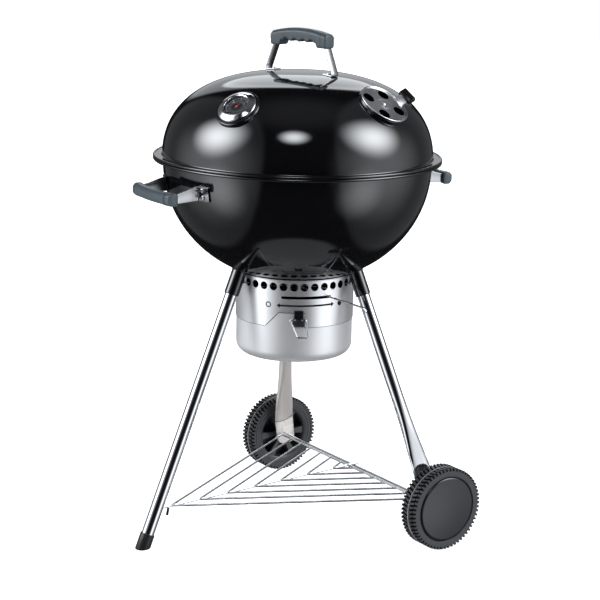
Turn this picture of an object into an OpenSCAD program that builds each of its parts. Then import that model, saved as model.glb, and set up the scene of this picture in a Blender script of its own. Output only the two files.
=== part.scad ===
// Kettle charcoal grill on a tubular tripod with two wheels, a wire rack and an ash catcher.
// Units are millimetres and +Z is up. The floor is z = 0 and the origin is the middle of the footprint.

/* [Kettle] */
// Outer radius of the rolled lips of the lid and the bowl
rim_r = 288; // [280:1:296]
// Height of the seam between the lid and the bowl
seam_z = 759.3; // [750:0.1:770]
// Thickness of each rolled lip
lip_t = 5.4; // [4:0.1:7]
// Thickness of the enamelled sheet
sheet_t = 1.5; // [1:0.1:2]
// Radius of the lid at its base
lid_r = 270.4; // [265:0.1:275]
// Height of the lid's crown above its base
lid_h = 176.4; // [160:0.1:190]
// Radius of the bowl at its top
bowl_r = 268.1; // [265:0.1:272]
// Depth of the bowl
bowl_h = 237.1; // [225:0.1:245]

/* [Stand] */
// Outer diameter of the leg tubes
leg_d = 25.4; // [22:0.1:28]
// Distance of a leg's centre line from the kettle's axis at the floor
leg_foot_r = 351.6; // [340:0.1:360]
// How far a leg leans in for each millimetre of height
leg_lean = 0.4041; // [0.38:0.0001:0.42]
// Radius of the wheels
wheel_r = 83.6; // [75:0.1:90]
// Width of the wheels
wheel_w = 46.3; // [40:0.1:50]
// Distance from the middle of the axle to the middle of a wheel
wheel_x = 293.2; // [288:0.1:298]
// Distance of the axle from the kettle's axis
axle_y = 164; // [160:1:168]
// Radius of the axle
axle_r = 4.5; // [4:0.1:6]
// Number of nested wires in the bottom rack
rack_rows = 7; // [5:1:8]
// Radius of the rack's wires
wire_r = 2.5; // [2:0.1:3]

/* [Ash catcher] */
// Outer radius of the fixed ring
ring_r = 119.3; // [117:0.1:121]
// Lower and upper edge of the fixed ring
ring_z = [437.2, 532];
// Lowest point of the ash bucket
bucket_z = 362; // [355:1:375]
// Number of air holes round the ring
ring_holes = 36; // [30:1:40]
// Height of the vent lever
lever_z = 497; // [492:1:502]

/* [Handles] */
// Direction in which the near side handle points, in degrees from +X
handle_az = 207.6; // [200:0.1:220]
// Height of the middle of the side grips
handle_z = 706; // [700:1:715]
// Direction of the lid handle and the lid damper, in degrees from +X
damper_az = 316; // [300:1:330]
// Direction of the thermometer, in degrees from +X
thermo_az = 234; // [225:1:245]
// Highest point of the lid handle
handle_top_z = 1015; // [1005:1:1025]

/* [Hidden] */

$fn = 64;

// Colours
enamel = [0.03, 0.03, 0.035];
steel = [0.72, 0.72, 0.74];
chrome = [0.86, 0.86, 0.88];
zinc = [0.62, 0.64, 0.66];
grip_grey = [0.33, 0.37, 0.40];
plastic = [0.10, 0.10, 0.11];

// Superellipse exponents of the two shells
lid_round = 0.778;
lid_crown = 0.857;
lid_base_z = 753.2;
bowl_round = 0.929;
bowl_drop = 0.989;
bowl_base_z = 749.3;
shell_steps = 24;
cut = 0.02;

// Axle frame: its x runs along the axle and its y points at the front leg
axle_turn = 120;
axle_z = wheel_r;
leg_plate_x = 258;
leg_plate_t = 5;

// Grip outline of a side handle: half length, outer face in the middle and at the ends
side_grip_l = 77;
side_grip_mid = 338;
side_grip_end = 330;
side_grip_deep = 21;
side_grip_steps = 8;

// The kettle's axis stands where it makes the whole footprint central on the origin
wheel_half = wheel_w / 2;
wheel_reach_x = wheel_x * cos(60) + axle_y * cos(30) + wheel_half * cos(60) + wheel_r * sin(60);
wheel_reach_y = wheel_x * sin(60) + axle_y * sin(30) + wheel_half * sin(60) + wheel_r * cos(60);
grip_points = side_grip_outline();
grip_reach = max([for (p = grip_points) -p.x * cos(handle_az) + p.y * sin(handle_az)]);
axis_x = (grip_reach - wheel_reach_x) / 2;
axis_y = (rim_r - wheel_reach_y) / 2;

function lid_point(t, inset) =
    [(lid_r - inset) * pow(max(cos(t), 0), lid_round), lid_base_z + (lid_h - inset) * pow(sin(t), lid_crown)];
function bowl_point(t, inset) =
    [(bowl_r - inset) * pow(max(cos(t), 0), bowl_round), bowl_base_z - (bowl_h - inset) * pow(sin(t), bowl_drop)];
function lid_height(r) =
    lid_base_z + lid_h * pow(sin(acos(pow(r / lid_r, 1 / lid_round))), lid_crown);
function lid_tilt(r) = atan2(lid_height(r - 1) - lid_height(r + 1), 2);
function bowl_radius(z) =
    bowl_r * pow(cos(asin(pow((bowl_base_z - z) / bowl_h, 1 / bowl_drop))), bowl_round);
function bowl_inner_height(r) =
    bowl_base_z - (bowl_h - sheet_t) * pow(sin(acos(pow(r / (bowl_r - sheet_t), 1 / bowl_round))), bowl_drop);
function leg_r(z) = leg_foot_r - leg_lean * z;
function side_grip_face(y) = side_grip_mid - (side_grip_mid - side_grip_end) * pow(y / side_grip_l, 2);
function side_grip_outline() = concat(
    [for (i = [-side_grip_steps:side_grip_steps])
        let (y = i / side_grip_steps * (side_grip_l - 7)) [side_grip_face(y), y]],
    [[side_grip_end - 7, side_grip_l], [side_grip_end - side_grip_deep, side_grip_l]],
    [for (i = [-side_grip_steps:side_grip_steps])
        let (y = -i / side_grip_steps * (side_grip_l - 12)) [side_grip_face(y) - side_grip_deep, y]],
    [[side_grip_end - side_grip_deep, -side_grip_l], [side_grip_end - 7, -side_grip_l]]);

lid_ts = [for (i = [0:shell_steps]) 2 + 88 * i / shell_steps];
bowl_ts = [for (i = [0:shell_steps]) 90 * i / shell_steps];

// Places its children on the kettle's axis
module kettle() { translate([axis_x, axis_y, 0]) children(); }
// Turns its children into the axle frame
module stand() { kettle() rotate([0, 0, axle_turn]) children(); }
// Puts its children on the lid, with +Z along the lid's outward normal and +X down the slope
module on_lid(az, r) {
    kettle() rotate([0, 0, az]) translate([r, 0, lid_height(r)]) rotate([0, lid_tilt(r), 0]) children();
}
// A round bar between two points
module rod(a, b, r) {
    d = b - a;
    len = norm(d);
    translate(a) rotate([0, acos(d.z / len), atan2(d.y, d.x)]) cylinder(r = r, h = len);
}
// Points of a path whose corners are rounded by curves that start corner_len away from each corner
function rounded(points, corner_len) = concat([points[0]],
    [for (i = [1:len(points) - 2], k = [0:3]) let (
        p = points[i],
        a = p + (points[i - 1] - p) / norm(points[i - 1] - p) * corner_len,
        b = p + (points[i + 1] - p) / norm(points[i + 1] - p) * corner_len,
        s = k / 3) a * pow(1 - s, 2) + p * 2 * s * (1 - s) + b * pow(s, 2)],
    [points[len(points) - 1]]);
function unit(v) = v / norm(v);
function tangent(points, i) =
    unit(points[min(i + 1, len(points) - 1)] - points[max(i - 1, 0)]);
// A round wire swept along a path; side is a direction that the path never runs along
wire_sides = 12;
module wire(path, r, corner_len, side) {
    points = rounded(path, corner_len);
    n = len(points);
    rings = [for (i = [0:n - 1], k = [0:wire_sides - 1]) let (
        t = tangent(points, i), u = unit(cross(t, side)), w = cross(u, t), a = 360 * k / wire_sides)
        points[i] + r * (cos(a) * u + sin(a) * w)];
    polyhedron(points = rings, faces = concat(
        [[for (k = [wire_sides - 1:-1:0]) k]],
        [[for (k = [0:wire_sides - 1]) (n - 1) * wire_sides + k]],
        [for (i = [0:n - 2], k = [0:wire_sides - 1]) let (k2 = (k + 1) % wire_sides)
            [i * wire_sides + k, i * wire_sides + k2, (i + 1) * wire_sides + k2, (i + 1) * wire_sides + k]]));
}
// A flat bar of thickness t bent along a list of 2-D points
function turned(v) = [-v.y, v.x];
function bar_side(points, h) = [for (i = [0:len(points) - 1]) let (
    a = unit(points[max(i, 1)] - points[max(i, 1) - 1]),
    b = unit(points[min(i + 1, len(points) - 1)] - points[min(i, len(points) - 2)]),
    m = unit(turned(a + b)))
    points[i] + m * h / (m * turned(a))];
module bent_bar(points, t) {
    back = bar_side(points, -t / 2);
    polygon(concat(bar_side(points, t / 2), [for (i = [len(points) - 1:-1:0]) back[i]]));
}
module hex_nut(r, h, bore) {
    difference() {
        cylinder(r = r, h = h, $fn = 6);
        translate([0, 0, -1]) cylinder(r = bore, h = h + 2);
    }
}

// ---- Bowl ----
vent_r = [38, 92];
vent_half_angle = 20;
spindle_r = 5;
module bowl_solid(grow) {
    rotate_extrude($fn = 128) polygon(concat(
        [for (t = bowl_ts) bowl_point(t, -grow)],
        [[0, seam_z + 20], [bowl_r + grow, seam_z + 20]]));
}
module bowl_shell() {
    rotate_extrude($fn = 128) polygon(concat(
        [[bowl_r, seam_z - 3]], [for (t = bowl_ts) bowl_point(t, 0)],
        [for (i = [shell_steps:-1:0]) bowl_point(bowl_ts[i], sheet_t)], [[bowl_r - sheet_t, seam_z - 3]]));
    rotate_extrude($fn = 128) polygon([
        [bowl_r - sheet_t, seam_z - 0.2], [rim_r - 1.6, seam_z - 0.2], [rim_r, seam_z - 1.8],
        [rim_r, seam_z - lip_t + 1.6], [rim_r - 1.6, seam_z - lip_t], [bowl_r - sheet_t, seam_z - lip_t]]);
}
// Wedge-shaped cutter between two radii
module sector(r0, r1, half_angle, z0, z1) {
    translate([0, 0, z0]) rotate([0, 0, -half_angle]) rotate_extrude(angle = 2 * half_angle)
        translate([r0, 0]) square([r1 - r0, z1 - z0]);
}
side_foot_z = handle_z + 7;
side_foot_half = 14;
side_foot_angle = 16.6;
bolt_zs = [side_foot_z - 7, side_foot_z + 7];
module side_bolt_places() {
    for (side = [0, 180], end = [-1, 1], z = bolt_zs)
        kettle() rotate([0, 0, handle_az + side + end * side_foot_angle])
            translate([bowl_radius(z), 0, z]) rotate([0, 90 + 8, 0]) children();
}
module bowl() {
    color(enamel) difference() {
        kettle() bowl_shell();
        kettle() for (i = [0:2]) rotate([0, 0, 30 + 120 * i])
            sector(vent_r[0], vent_r[1], vent_half_angle, bowl_base_z - bowl_h - 5, bowl_base_z - bowl_h + 60);
        kettle() translate([0, 0, bowl_base_z - bowl_h - 5]) cylinder(r = spindle_r + 0.05, h = 20);
        side_bolt_places() translate([0, 0, -15]) cylinder(r = 3.1, h = 30);
    }
}

// Small angle brackets inside the bowl: the lower row carries the charcoal grate, the upper the cooking grate
charcoal_z = 612;
cooking_z = 737;
module grate_bracket(z, reach) {
    w = 22;
    r = bowl_radius(z) - sheet_t - 0.2;
    translate([0, -w / 2, z]) difference() {
        union() {
            translate([r - reach, 0, -2]) cube([reach + 6, w, 2]);
            translate([r - reach, w / 2 - 1, -12]) cube([reach + 6, 2, 11]);
        }
        translate([0, w / 2, -z]) bowl_cut();
    }
}
// Everything outside the bowl's inner face
module bowl_cut() {
    difference() {
        translate([150, -50, 500]) cube([140, 100, 260]);
        rotate_extrude($fn = 128) polygon(concat(
            [for (t = bowl_ts) bowl_point(t, sheet_t + 0.1)], [[0, 770], [bowl_r - sheet_t - 0.1, 770]]));
    }
}
module grate_brackets() {
    color(steel) kettle() {
        for (az = [65, 115, 245, 295]) rotate([0, 0, az]) grate_bracket(cooking_z - 3.5, 12);
        for (az = [45, 135, 225, 315]) rotate([0, 0, az]) grate_bracket(charcoal_z - 4.1, 16);
    }
}

// ---- Stand ----
socket_r = 15;
socket_z = [494, 552];
leg_top_z = 530;
module along_leg(z0, z1, r) {
    rod([0, leg_r(z0), z0], [0, leg_r(z1), z1], r);
}
module leg_socket() {
    difference() {
        along_leg(socket_z[0], socket_z[1], socket_r);
        along_leg(socket_z[0] - 5, leg_top_z + 1, leg_d / 2 + 0.1);
        bowl_solid(0.05);
    }
}
module leg_sockets() {
    color(enamel) stand() for (i = [0:2]) rotate([0, 0, 120 * i]) leg_socket();
}
leg_wall = 1.2;
peg_hole_z = 77;
module front_leg() {
    color(chrome) stand() difference() {
        along_leg(10, leg_top_z, leg_d / 2);
        along_leg(5, leg_top_z + 5, leg_d / 2 - leg_wall);
        rod([0, 250, peg_hole_z + 1.5], [0, leg_r(peg_hole_z), peg_hole_z], wire_r + 0.3);
    }
}
flat_w = 46;
flat_z = [68, 124];
flat_y = [-leg_r(flat_z[1]) / 2 - 3, -axle_y + 3];
module wheel_leg() {
    squeeze_z = 230;
    plate_x = leg_plate_x;
    difference() {
        union() {
            rotate([0, 0, -120]) along_leg(squeeze_z, leg_top_z, leg_d / 2);
            hull() {
                rotate([0, 0, -120]) along_leg(squeeze_z - 1, squeeze_z + 1, leg_d / 2 + 0.3, $fn = 32);
                translate([plate_x - leg_plate_t / 2 - 0.2, flat_y[0] - flat_w / 2 - 0.2, flat_z[1] - 2])
                    cube([leg_plate_t + 0.4, flat_w + 0.4, 3]);
            }
            difference() {
                translate([plate_x - leg_plate_t / 2, 0, 0]) rotate([90, 0, 90])
                    linear_extrude(leg_plate_t) polygon([
                        [flat_y[0] - flat_w / 2, flat_z[1] + 0.5], [flat_y[1] - flat_w / 2, flat_z[0] + 8],
                        [flat_y[1] - flat_w / 2 + 6, flat_z[0]], [flat_y[1] + flat_w / 2 - 6, flat_z[0]],
                        [flat_y[1] + flat_w / 2, flat_z[0] + 8], [flat_y[0] + flat_w / 2, flat_z[1] + 0.5]]);
                translate([plate_x - 20, -axle_y, axle_z]) rotate([0, 90, 0]) cylinder(r = axle_r + 0.1, h = 40);
            }
        }
        rotate([0, 0, -120]) along_leg(squeeze_z + 2, leg_top_z + 5, leg_d / 2 - leg_wall);
    }
}
module rear_leg() { color(chrome) stand() wheel_leg(); }
module right_leg() { color(chrome) stand() mirror([1, 0, 0]) wheel_leg(); }
module foot_cap() {
    color(plastic) stand() difference() {
        along_leg(-12, 29, leg_d / 2 + 1.9);
        along_leg(8, 40, leg_d / 2 + 0.1);
        translate([-50, leg_foot_r - 50, -40]) cube([100, 100, 40]);
    }
}
axle_end = wheel_x + 16;
module axle() {
    color(chrome) stand() translate([-axle_end, -axle_y, axle_z]) rotate([0, 90, 0])
        cylinder(r = axle_r, h = 2 * axle_end);
}
module axle_caps() {
    color(steel) stand() for (side = [-1, 1])
        translate([side * (wheel_x + 14.2), -axle_y, axle_z]) rotate([0, 90 * side, 0]) difference() {
            cylinder(r = 9, h = 4);
            translate([0, 0, -1]) cylinder(r = axle_r + 0.02, h = 2.9);
        }
}

// ---- Wheels ----
hub_in = -31;
hub_out = 13;
web_u = [8, 13];
recess_r = 66;
hubcap_r = 65.4;
spokes = 6;
module wheel_place(side) {
    stand() translate([side * wheel_x, -axle_y, axle_z]) rotate([0, 90 * side, 0]) children();
}
module wheel_body() {
    color(plastic) difference() {
        union() {
            rotate_extrude($fn = 128) polygon([
                [63, -wheel_half + 2], [66, -wheel_half], [wheel_r - 5, -wheel_half], [wheel_r, -wheel_half + 4],
                [wheel_r, wheel_half - 4], [wheel_r - 5, wheel_half], [recess_r, wheel_half],
                [recess_r, hub_out], [14, hub_out], [14, web_u[0]], [63, web_u[0]]]);
            translate([0, 0, hub_in]) cylinder(r = 14, h = hub_out - hub_in);
            for (i = [0:spokes - 1]) rotate([0, 0, i * 360 / spokes])
                translate([12, -6, -wheel_half + 6]) cube([52, 12, web_u[0] + wheel_half - 5]);
        }
        translate([0, 0, hub_in - 1]) cylinder(r = axle_r + 0.05, h = hub_out - hub_in + 2);
    }
}
module hubcap() {
    color(plastic) difference() {
        rotate_extrude($fn = 128) polygon([
            [0, 19.4], [10, 19.4], [10, 18.6], [hubcap_r - 3, 18.6], [hubcap_r - 3, hub_out + 0.1],
            [hubcap_r, hub_out + 0.1], [hubcap_r, 20.4], [hubcap_r - 1.5, 21.6], [hubcap_r * 0.85, 22.9],
            [hubcap_r * 0.6, 23.9], [hubcap_r * 0.3, 24.5], [0, 24.7]]);
        cylinder(r = 1, h = 1);
    }
}
module right_wheel() { wheel_place(-1) wheel_body(); }
module right_hubcap() { wheel_place(-1) hubcap(); }
module rear_wheel() { wheel_place(1) wheel_body(); }
module rear_hubcap() { wheel_place(1) hubcap(); }

// ---- Bottom rack: nested wires whose points lie on a spine, resting on the axle ----
rack_first_y = 288;
rack_pitch = 65.5;
rack_bar_y = -145;
rack_front_y = 312;
rack_rear_z = axle_z + axle_r + wire_r + 0.2;
rack_drop = 1.67;
module bottom_rack() {
    stub = 4.6;
    color(chrome) stand() translate([0, -axle_y, rack_rear_z]) rotate([-rack_drop, 0, 0])
        translate([0, axle_y, 0]) {
            rod([0, -axle_y - 9, 0], [0, rack_front_y, 0], wire_r);
            rod([-250, rack_bar_y, 0], [250, rack_bar_y, 0], wire_r);
            for (side = [-1, 1], i = [0:rack_rows - 1]) {
                y = rack_first_y - rack_pitch * i;
                rod([0, y, 0], [side * ((y - rack_bar_y) / tan(60) + stub / 2), rack_bar_y - stub * sin(60), 0],
                    wire_r - 0.3);
            }
        }
}
module rack_peg() {
    color(plastic) stand() translate([0, 293, peg_hole_z - 3.2]) rotate([12, 0, 0])
        translate([0, 0, -15]) cylinder(r = 2.6, h = 15);
}

// ---- Ash catcher ----
ring_t = 1;
slot_az = [252.9, 303];
hole_z = 518;
hole_r = 7.8;
notch_az = [237, 250.6, 276.5];
notch_z = 467;
latch_az = 270;
module ring_sector(az0, az1, r0, r1, z0, z1) {
    rotate([0, 0, az0]) rotate_extrude(angle = az1 - az0) translate([r0, z0]) square([r1 - r0, z1 - z0]);
}
module ash_ring() {
    color(zinc) kettle() difference() {
        union() {
            ring_sector(0, 360, ring_r - ring_t, ring_r, ring_z[0], ring_z[1]);
            translate([0, 0, ring_z[1]]) rotate_extrude() translate([ring_r - 0.8, 0]) circle(r = 1.2);
        }
        bowl_solid(0.1);
        for (i = [0:ring_holes - 1]) rotate([0, 0, 5 + i * 360 / ring_holes])
            translate([ring_r - 10, 0, hole_z]) rotate([0, 90, 0]) cylinder(r = hole_r, h = 20);
        ring_sector(slot_az[0], slot_az[1], ring_r - 5, ring_r + 5, lever_z - 2.8, lever_z + 2.8);
        ring_sector(notch_az[1], notch_az[2], ring_r - 5, ring_r + 5, ring_z[0] - 1, notch_z);
        rotate([0, 0, notch_az[1] + 90]) translate([0, 0, ring_z[0]]) rotate([90, 0, 0])
            linear_extrude(ring_r + 10) polygon([[1, -1], [-28, -1], [1, notch_z - ring_z[0]]]);
    }
}
// Wire staples that hang the ring on the three leg sockets, each through two neighbouring air holes
module ring_hooks() {
    y = ring_r * sin(180 / ring_holes);
    z = hole_z - 2;
    color(chrome) stand() for (i = [0:2]) rotate([0, 0, 120 * i + 90])
        wire([[ring_r - 4, -y - 6, z], [ring_r - 4, -y, z], [ring_r + 3.5, -y, z], [ring_r + 3.5, y, z],
            [ring_r - 4, y, z], [ring_r - 4, y + 6, z]], 1.1, 2.5, [0, 0, 1]);
}
// Hook that reaches down over the notch and holds the bucket
module latch_catch() {
    color(plastic) kettle() rotate([0, 0, latch_az]) difference() {
        translate([ring_r - 1, -9, 453.5]) cube([4.4, 18, 18]);
        cylinder(r = ring_r + 0.3, h = 600);
    }
}
bucket_r = 117.9;
bucket_t = 1;
bucket_top = 470;
corner_r = 22;
module bucket_profile(inset) {
    steps = 8;
    polygon(concat(
        [[0, bucket_z + inset]],
        [for (i = [0:steps]) let (a = -90 + 90 * i / steps)
            [bucket_r - corner_r + (corner_r - inset) * cos(a), bucket_z + corner_r + (corner_r - inset) * sin(a)]],
        [[bucket_r - inset, bucket_top + inset * 5], [0, bucket_top + inset * 5]]));
}
module ash_bucket() {
    color(zinc) kettle() difference() {
        rotate_extrude($fn = 128) bucket_profile(0);
        rotate_extrude($fn = 128) bucket_profile(bucket_t);
    }
}
// Plate riveted to the bucket, with two ears that carry the bail
bail_z = 454;
bail_r_pos = ring_r + 6;
bail_wire_r = 1.5;
module bucket_latch_plate() {
    half = 6.1;
    color(steel) kettle() rotate([0, 0, latch_az]) difference() {
        union() {
            ring_sector(-half, half, bucket_r + 0.1, bucket_r + 2.4, 438.5, 452.5);
            for (side = [-1, 1]) translate([bucket_r + 1, side * 11 - 1, 446]) cube([10, 2, bail_z + 4 - 446]);
        }
        cylinder(r = bucket_r + 0.1, h = 600);
        translate([bail_r_pos, -20, bail_z]) rotate([-90, 0, 0]) cylinder(r = bail_wire_r + 0.06, h = 40);
    }
}
// Pull loop of the latch, whose lower end hangs a little to one side
module latch_bail() {
    r = bail_r_pos;
    color(chrome) kettle() rotate([0, 0, latch_az]) wire([
        [r, -6, bail_z], [r, -18, bail_z], [r + 7, -3, bail_z - 34],
        [r + 7, 18, bail_z - 34], [r, 15, bail_z], [r, 6, bail_z]], bail_wire_r, 3, [1, 0, 0.1]);
}

// ---- Bottom vents: three blades swept by a lever ----
blade_lift = 0.8;
blade_t = 1.2;
blade_half = 23.5;
lever_az = 300.5;
module vent_blades() {
    color(steel) kettle() difference() {
        intersection() {
            rotate_extrude($fn = 128) polygon(concat(
                [for (t = bowl_ts) bowl_point(t, sheet_t + blade_lift)],
                [for (i = [shell_steps:-1:0]) bowl_point(bowl_ts[i], sheet_t + blade_lift + blade_t)]));
            union() {
                for (i = [0:2]) rotate([0, 0, 30 + 120 * i]) sector(16, vent_r[1] + 6, blade_half, 500, 580);
                translate([0, 0, 500]) cylinder(r = 30, h = 60);
            }
        }
        cylinder(r = spindle_r + 0.1, h = 600);
    }
}
spindle_z = [lever_z - 4, bowl_base_z - bowl_h + sheet_t + blade_lift + blade_t + 10];
module vent_spindle() {
    color(steel) kettle() {
        translate([0, 0, spindle_z[0] - 4]) cylinder(r = spindle_r, h = spindle_z[1] - spindle_z[0] + 4);
        translate([0, 0, spindle_z[0] - 4]) cylinder(r = 11, h = 12);
    }
}
module vent_nut() {
    color(steel) kettle() translate([0, 0, spindle_z[1] - 9.8]) hex_nut(10, 6, spindle_r + 0.02);
}
module vent_lever() {
    color(chrome) kettle() rotate([0, 0, lever_az]) wire([
        [8, 0, lever_z], [237, 0, lever_z], [241, 0, lever_z - 6]], 2, 4, [0, 1, 0]);
}

// ---- Side handles: a strap whose arms taper from two feet on the bowl to the grip ----
strap_t = 3;
arm_half = 9;
module side_handle_frame(turn) { kettle() rotate([0, 0, handle_az + turn]) children(); }
module side_foot(end) {
    a = side_foot_angle;
    zs = [side_foot_z - side_foot_half, side_foot_z, side_foot_z + side_foot_half];
    rotate([0, 0, end > 0 ? a - 3.2 : -a - 3]) rotate_extrude(angle = 6.2) polygon(concat(
        [for (z = zs) [bowl_radius(z) + 0.1, z]],
        [for (i = [2:-1:0]) [bowl_radius(zs[i]) + 0.1 + strap_t, zs[i]]]));
}
side_bend_r = bowl_radius(side_foot_z) + 2.2;
side_bend = [side_bend_r * cos(side_foot_angle - 2.9), side_bend_r * sin(side_foot_angle - 2.9)];
side_knee = [side_grip_end - side_grip_deep + 3, side_grip_l - 9];
module side_strap_core(t) {
    m = side_grip_end - side_grip_deep / 2;
    bent_bar([[side_knee.x, -side_knee.y], [m, -side_knee.y + 7], [side_grip_mid - side_grip_deep / 2, 0],
        [m, side_knee.y - 7], side_knee], t);
}
module side_arm(end, grow) {
    hull() {
        translate([side_bend.x, end * side_bend.y, side_foot_z - side_foot_half])
            cylinder(d = strap_t + 2 * grow, h = 2 * side_foot_half, $fn = 24);
        translate([side_knee.x, end * side_knee.y, handle_z - arm_half - grow])
            cylinder(d = strap_t + 2 * grow, h = 2 * arm_half + 2 * grow, $fn = 24);
    }
}
module side_strap(turn) {
    color(chrome) difference() {
        side_handle_frame(turn) {
            translate([0, 0, handle_z - arm_half]) linear_extrude(2 * arm_half) side_strap_core(strap_t);
            for (end = [-1, 1]) {
                side_foot(end);
                side_arm(end, 0);
            }
        }
        kettle() bowl_solid(0.1);
        side_bolt_places() translate([0, 0, -15]) cylinder(r = 3.1, h = 30);
    }
}
module left_handle_strap() { side_strap(0); }
module right_handle_strap() { side_strap(180); }
grip_half_h = 12.5;
module side_grip(turn) {
    color(grip_grey) side_handle_frame(turn) difference() {
        translate([0, 0, handle_z - grip_half_h]) linear_extrude(2 * grip_half_h) polygon(grip_points);
        translate([0, 0, handle_z - arm_half - 0.3]) linear_extrude(2 * arm_half + 0.6)
            side_strap_core(strap_t + 0.6);
        for (end = [-1, 1]) side_arm(end, 0.4);
    }
}
module left_grip() { side_grip(0); }
module right_grip() { side_grip(180); }
module side_handle_bolts() {
    color(steel) side_bolt_places() {
        translate([0, 0, -8]) cylinder(r = 3, h = 13);
        translate([0, 0, 3.9]) cylinder(r = 5, h = 2.6, $fn = 32);
    }
}
module side_handle_nuts() {
    color(steel) side_bolt_places() translate([0, 0, -7.6]) hex_nut(5.5, 4.6, 3.02);
}

// ---- Lid ----
damper_r_pos = 210;
thermo_r_pos = 218;
damper_r = 51;
damper_hole_r = 12;
damper_hole_pos = 33;
damper_seat_r = 50;
thermo_seat_r = 44;
seat_top = 1;
screw_x = 70;
module lid_shell() {
    rotate_extrude($fn = 128) polygon(concat(
        [for (t = lid_ts) lid_point(t, 0)], [for (i = [shell_steps:-1:0]) lid_point(lid_ts[i], sheet_t)]));
    rotate_extrude($fn = 128) polygon([
        [lid_r - sheet_t - 0.2, seam_z + 0.2], [rim_r - 1.6, seam_z + 0.2], [rim_r, seam_z + 1.8],
        [rim_r, seam_z + lip_t - 1.6], [rim_r - 1.6, seam_z + lip_t], [lid_r - sheet_t - 0.2, seam_z + lip_t]]);
}
// Stamped flat seat: a shallow cup that rises out of the curved lid
module seat(r) {
    difference() {
        translate([0, 0, -10]) cylinder(r = r, h = 10 + seat_top);
        translate([0, 0, -11]) cylinder(r = r - sheet_t, h = 11 + seat_top - sheet_t);
    }
}
module lid() {
    color(enamel) difference() {
        union() {
            difference() {
                kettle() lid_shell();
                on_lid(damper_az, damper_r_pos) translate([0, 0, -20]) cylinder(r = damper_seat_r - 0.5, h = 40);
                on_lid(thermo_az, thermo_r_pos) translate([0, 0, -20]) cylinder(r = thermo_seat_r - 0.5, h = 40);
            }
            on_lid(damper_az, damper_r_pos) seat(damper_seat_r);
            on_lid(thermo_az, thermo_r_pos) seat(thermo_seat_r);
        }
        on_lid(damper_az, damper_r_pos) {
            for (i = [0:3]) rotate([0, 0, 47 + 90 * i]) translate([damper_hole_pos, 0, -5])
                cylinder(r = damper_hole_r, h = 10);
            translate([0, 0, -5]) cylinder(r = 3.1, h = 10);
        }
        on_lid(thermo_az, thermo_r_pos) translate([0, 0, -5]) cylinder(r = 5.7, h = 10);
        lid_screw_places() translate([0, 0, -10]) cylinder(r = 2.6, h = 20);
    }
}
lid_handle_shift = 5;
function lid_height_at(x) = lid_height(abs(x + lid_handle_shift));
module lid_handle_frame() {
    kettle() rotate([0, 0, damper_az]) translate([lid_handle_shift, 0, 0]) children();
}
lid_post_x = 86;
lid_top_x = 58;
lid_bar_z = handle_top_z - 14;
lid_strap_w = 20;
lid_strap_t = 2.5;
module lid_strap_path(t) {
    foot = 62;
    function on_crown(x) = [x, lid_height_at(x) + 0.4 + t / 2];
    bent_bar([on_crown(foot), on_crown(lid_post_x), [lid_top_x + 2, lid_bar_z - 8], [lid_top_x - 6, lid_bar_z],
        [-lid_top_x + 6, lid_bar_z], [-lid_top_x - 2, lid_bar_z - 8], on_crown(-lid_post_x), on_crown(-foot)], t);
}
module lid_handle_strap() {
    color(chrome) lid_handle_frame() difference() {
        translate([0, lid_strap_w / 2, 0]) rotate([90, 0, 0]) linear_extrude(lid_strap_w)
            lid_strap_path(lid_strap_t);
        for (x = [-screw_x, screw_x]) translate([x, 0, lid_height_at(x) - 10]) cylinder(r = 2.6, h = 20);
    }
}
lid_grip_l = 70.5;
lid_grip_w = 29;
grooves = 4;
// Moulded grip outline: an arched back and finger grooves between two end blocks
function lid_grip_back(x) = handle_top_z - 9 * pow(x / lid_grip_l, 2);
belly = 42;
function lid_grip_belly(x) = handle_top_z - 24.5 - 1.6 * cos(x / belly * 180 * grooves);
module lid_grip() {
    steps = 32;
    color(grip_grey) lid_handle_frame() difference() {
        translate([0, lid_grip_w / 2, 0]) rotate([90, 0, 0]) linear_extrude(lid_grip_w) polygon(concat(
            [for (i = [-10:10]) let (x = i / 10 * (lid_grip_l - 3)) [x, lid_grip_back(x)]],
            [[lid_grip_l, handle_top_z - 12], [lid_grip_l, handle_top_z - 34], [lid_grip_l - 3, handle_top_z - 36],
                [belly + 8, handle_top_z - 36]],
            [for (i = [steps:-1:-steps]) let (x = i / steps * belly) [x, lid_grip_belly(x)]],
            [[-belly - 8, handle_top_z - 36], [-lid_grip_l + 3, handle_top_z - 36],
                [-lid_grip_l, handle_top_z - 34], [-lid_grip_l, handle_top_z - 12]]));
        translate([0, lid_strap_w / 2 + 0.3, 0]) rotate([90, 0, 0]) linear_extrude(lid_strap_w + 0.6)
            lid_strap_path(lid_strap_t + 0.6);
    }
}
module lid_screw_places() {
    lid_handle_frame() for (x = [-screw_x, screw_x]) translate([x, 0, lid_height_at(x)]) children();
}
module lid_handle_screws() {
    color(steel) lid_screw_places() {
        translate([0, 0, -9]) cylinder(r = 2.5, h = 13);
        translate([0, 0, 3.9]) cylinder(r = 4.6, h = 2.4, $fn = 32);
    }
}
module lid_handle_nuts() {
    color(steel) lid_screw_places() translate([0, 0, -7.5]) hex_nut(5, 4.4, 2.52);
}

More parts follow.
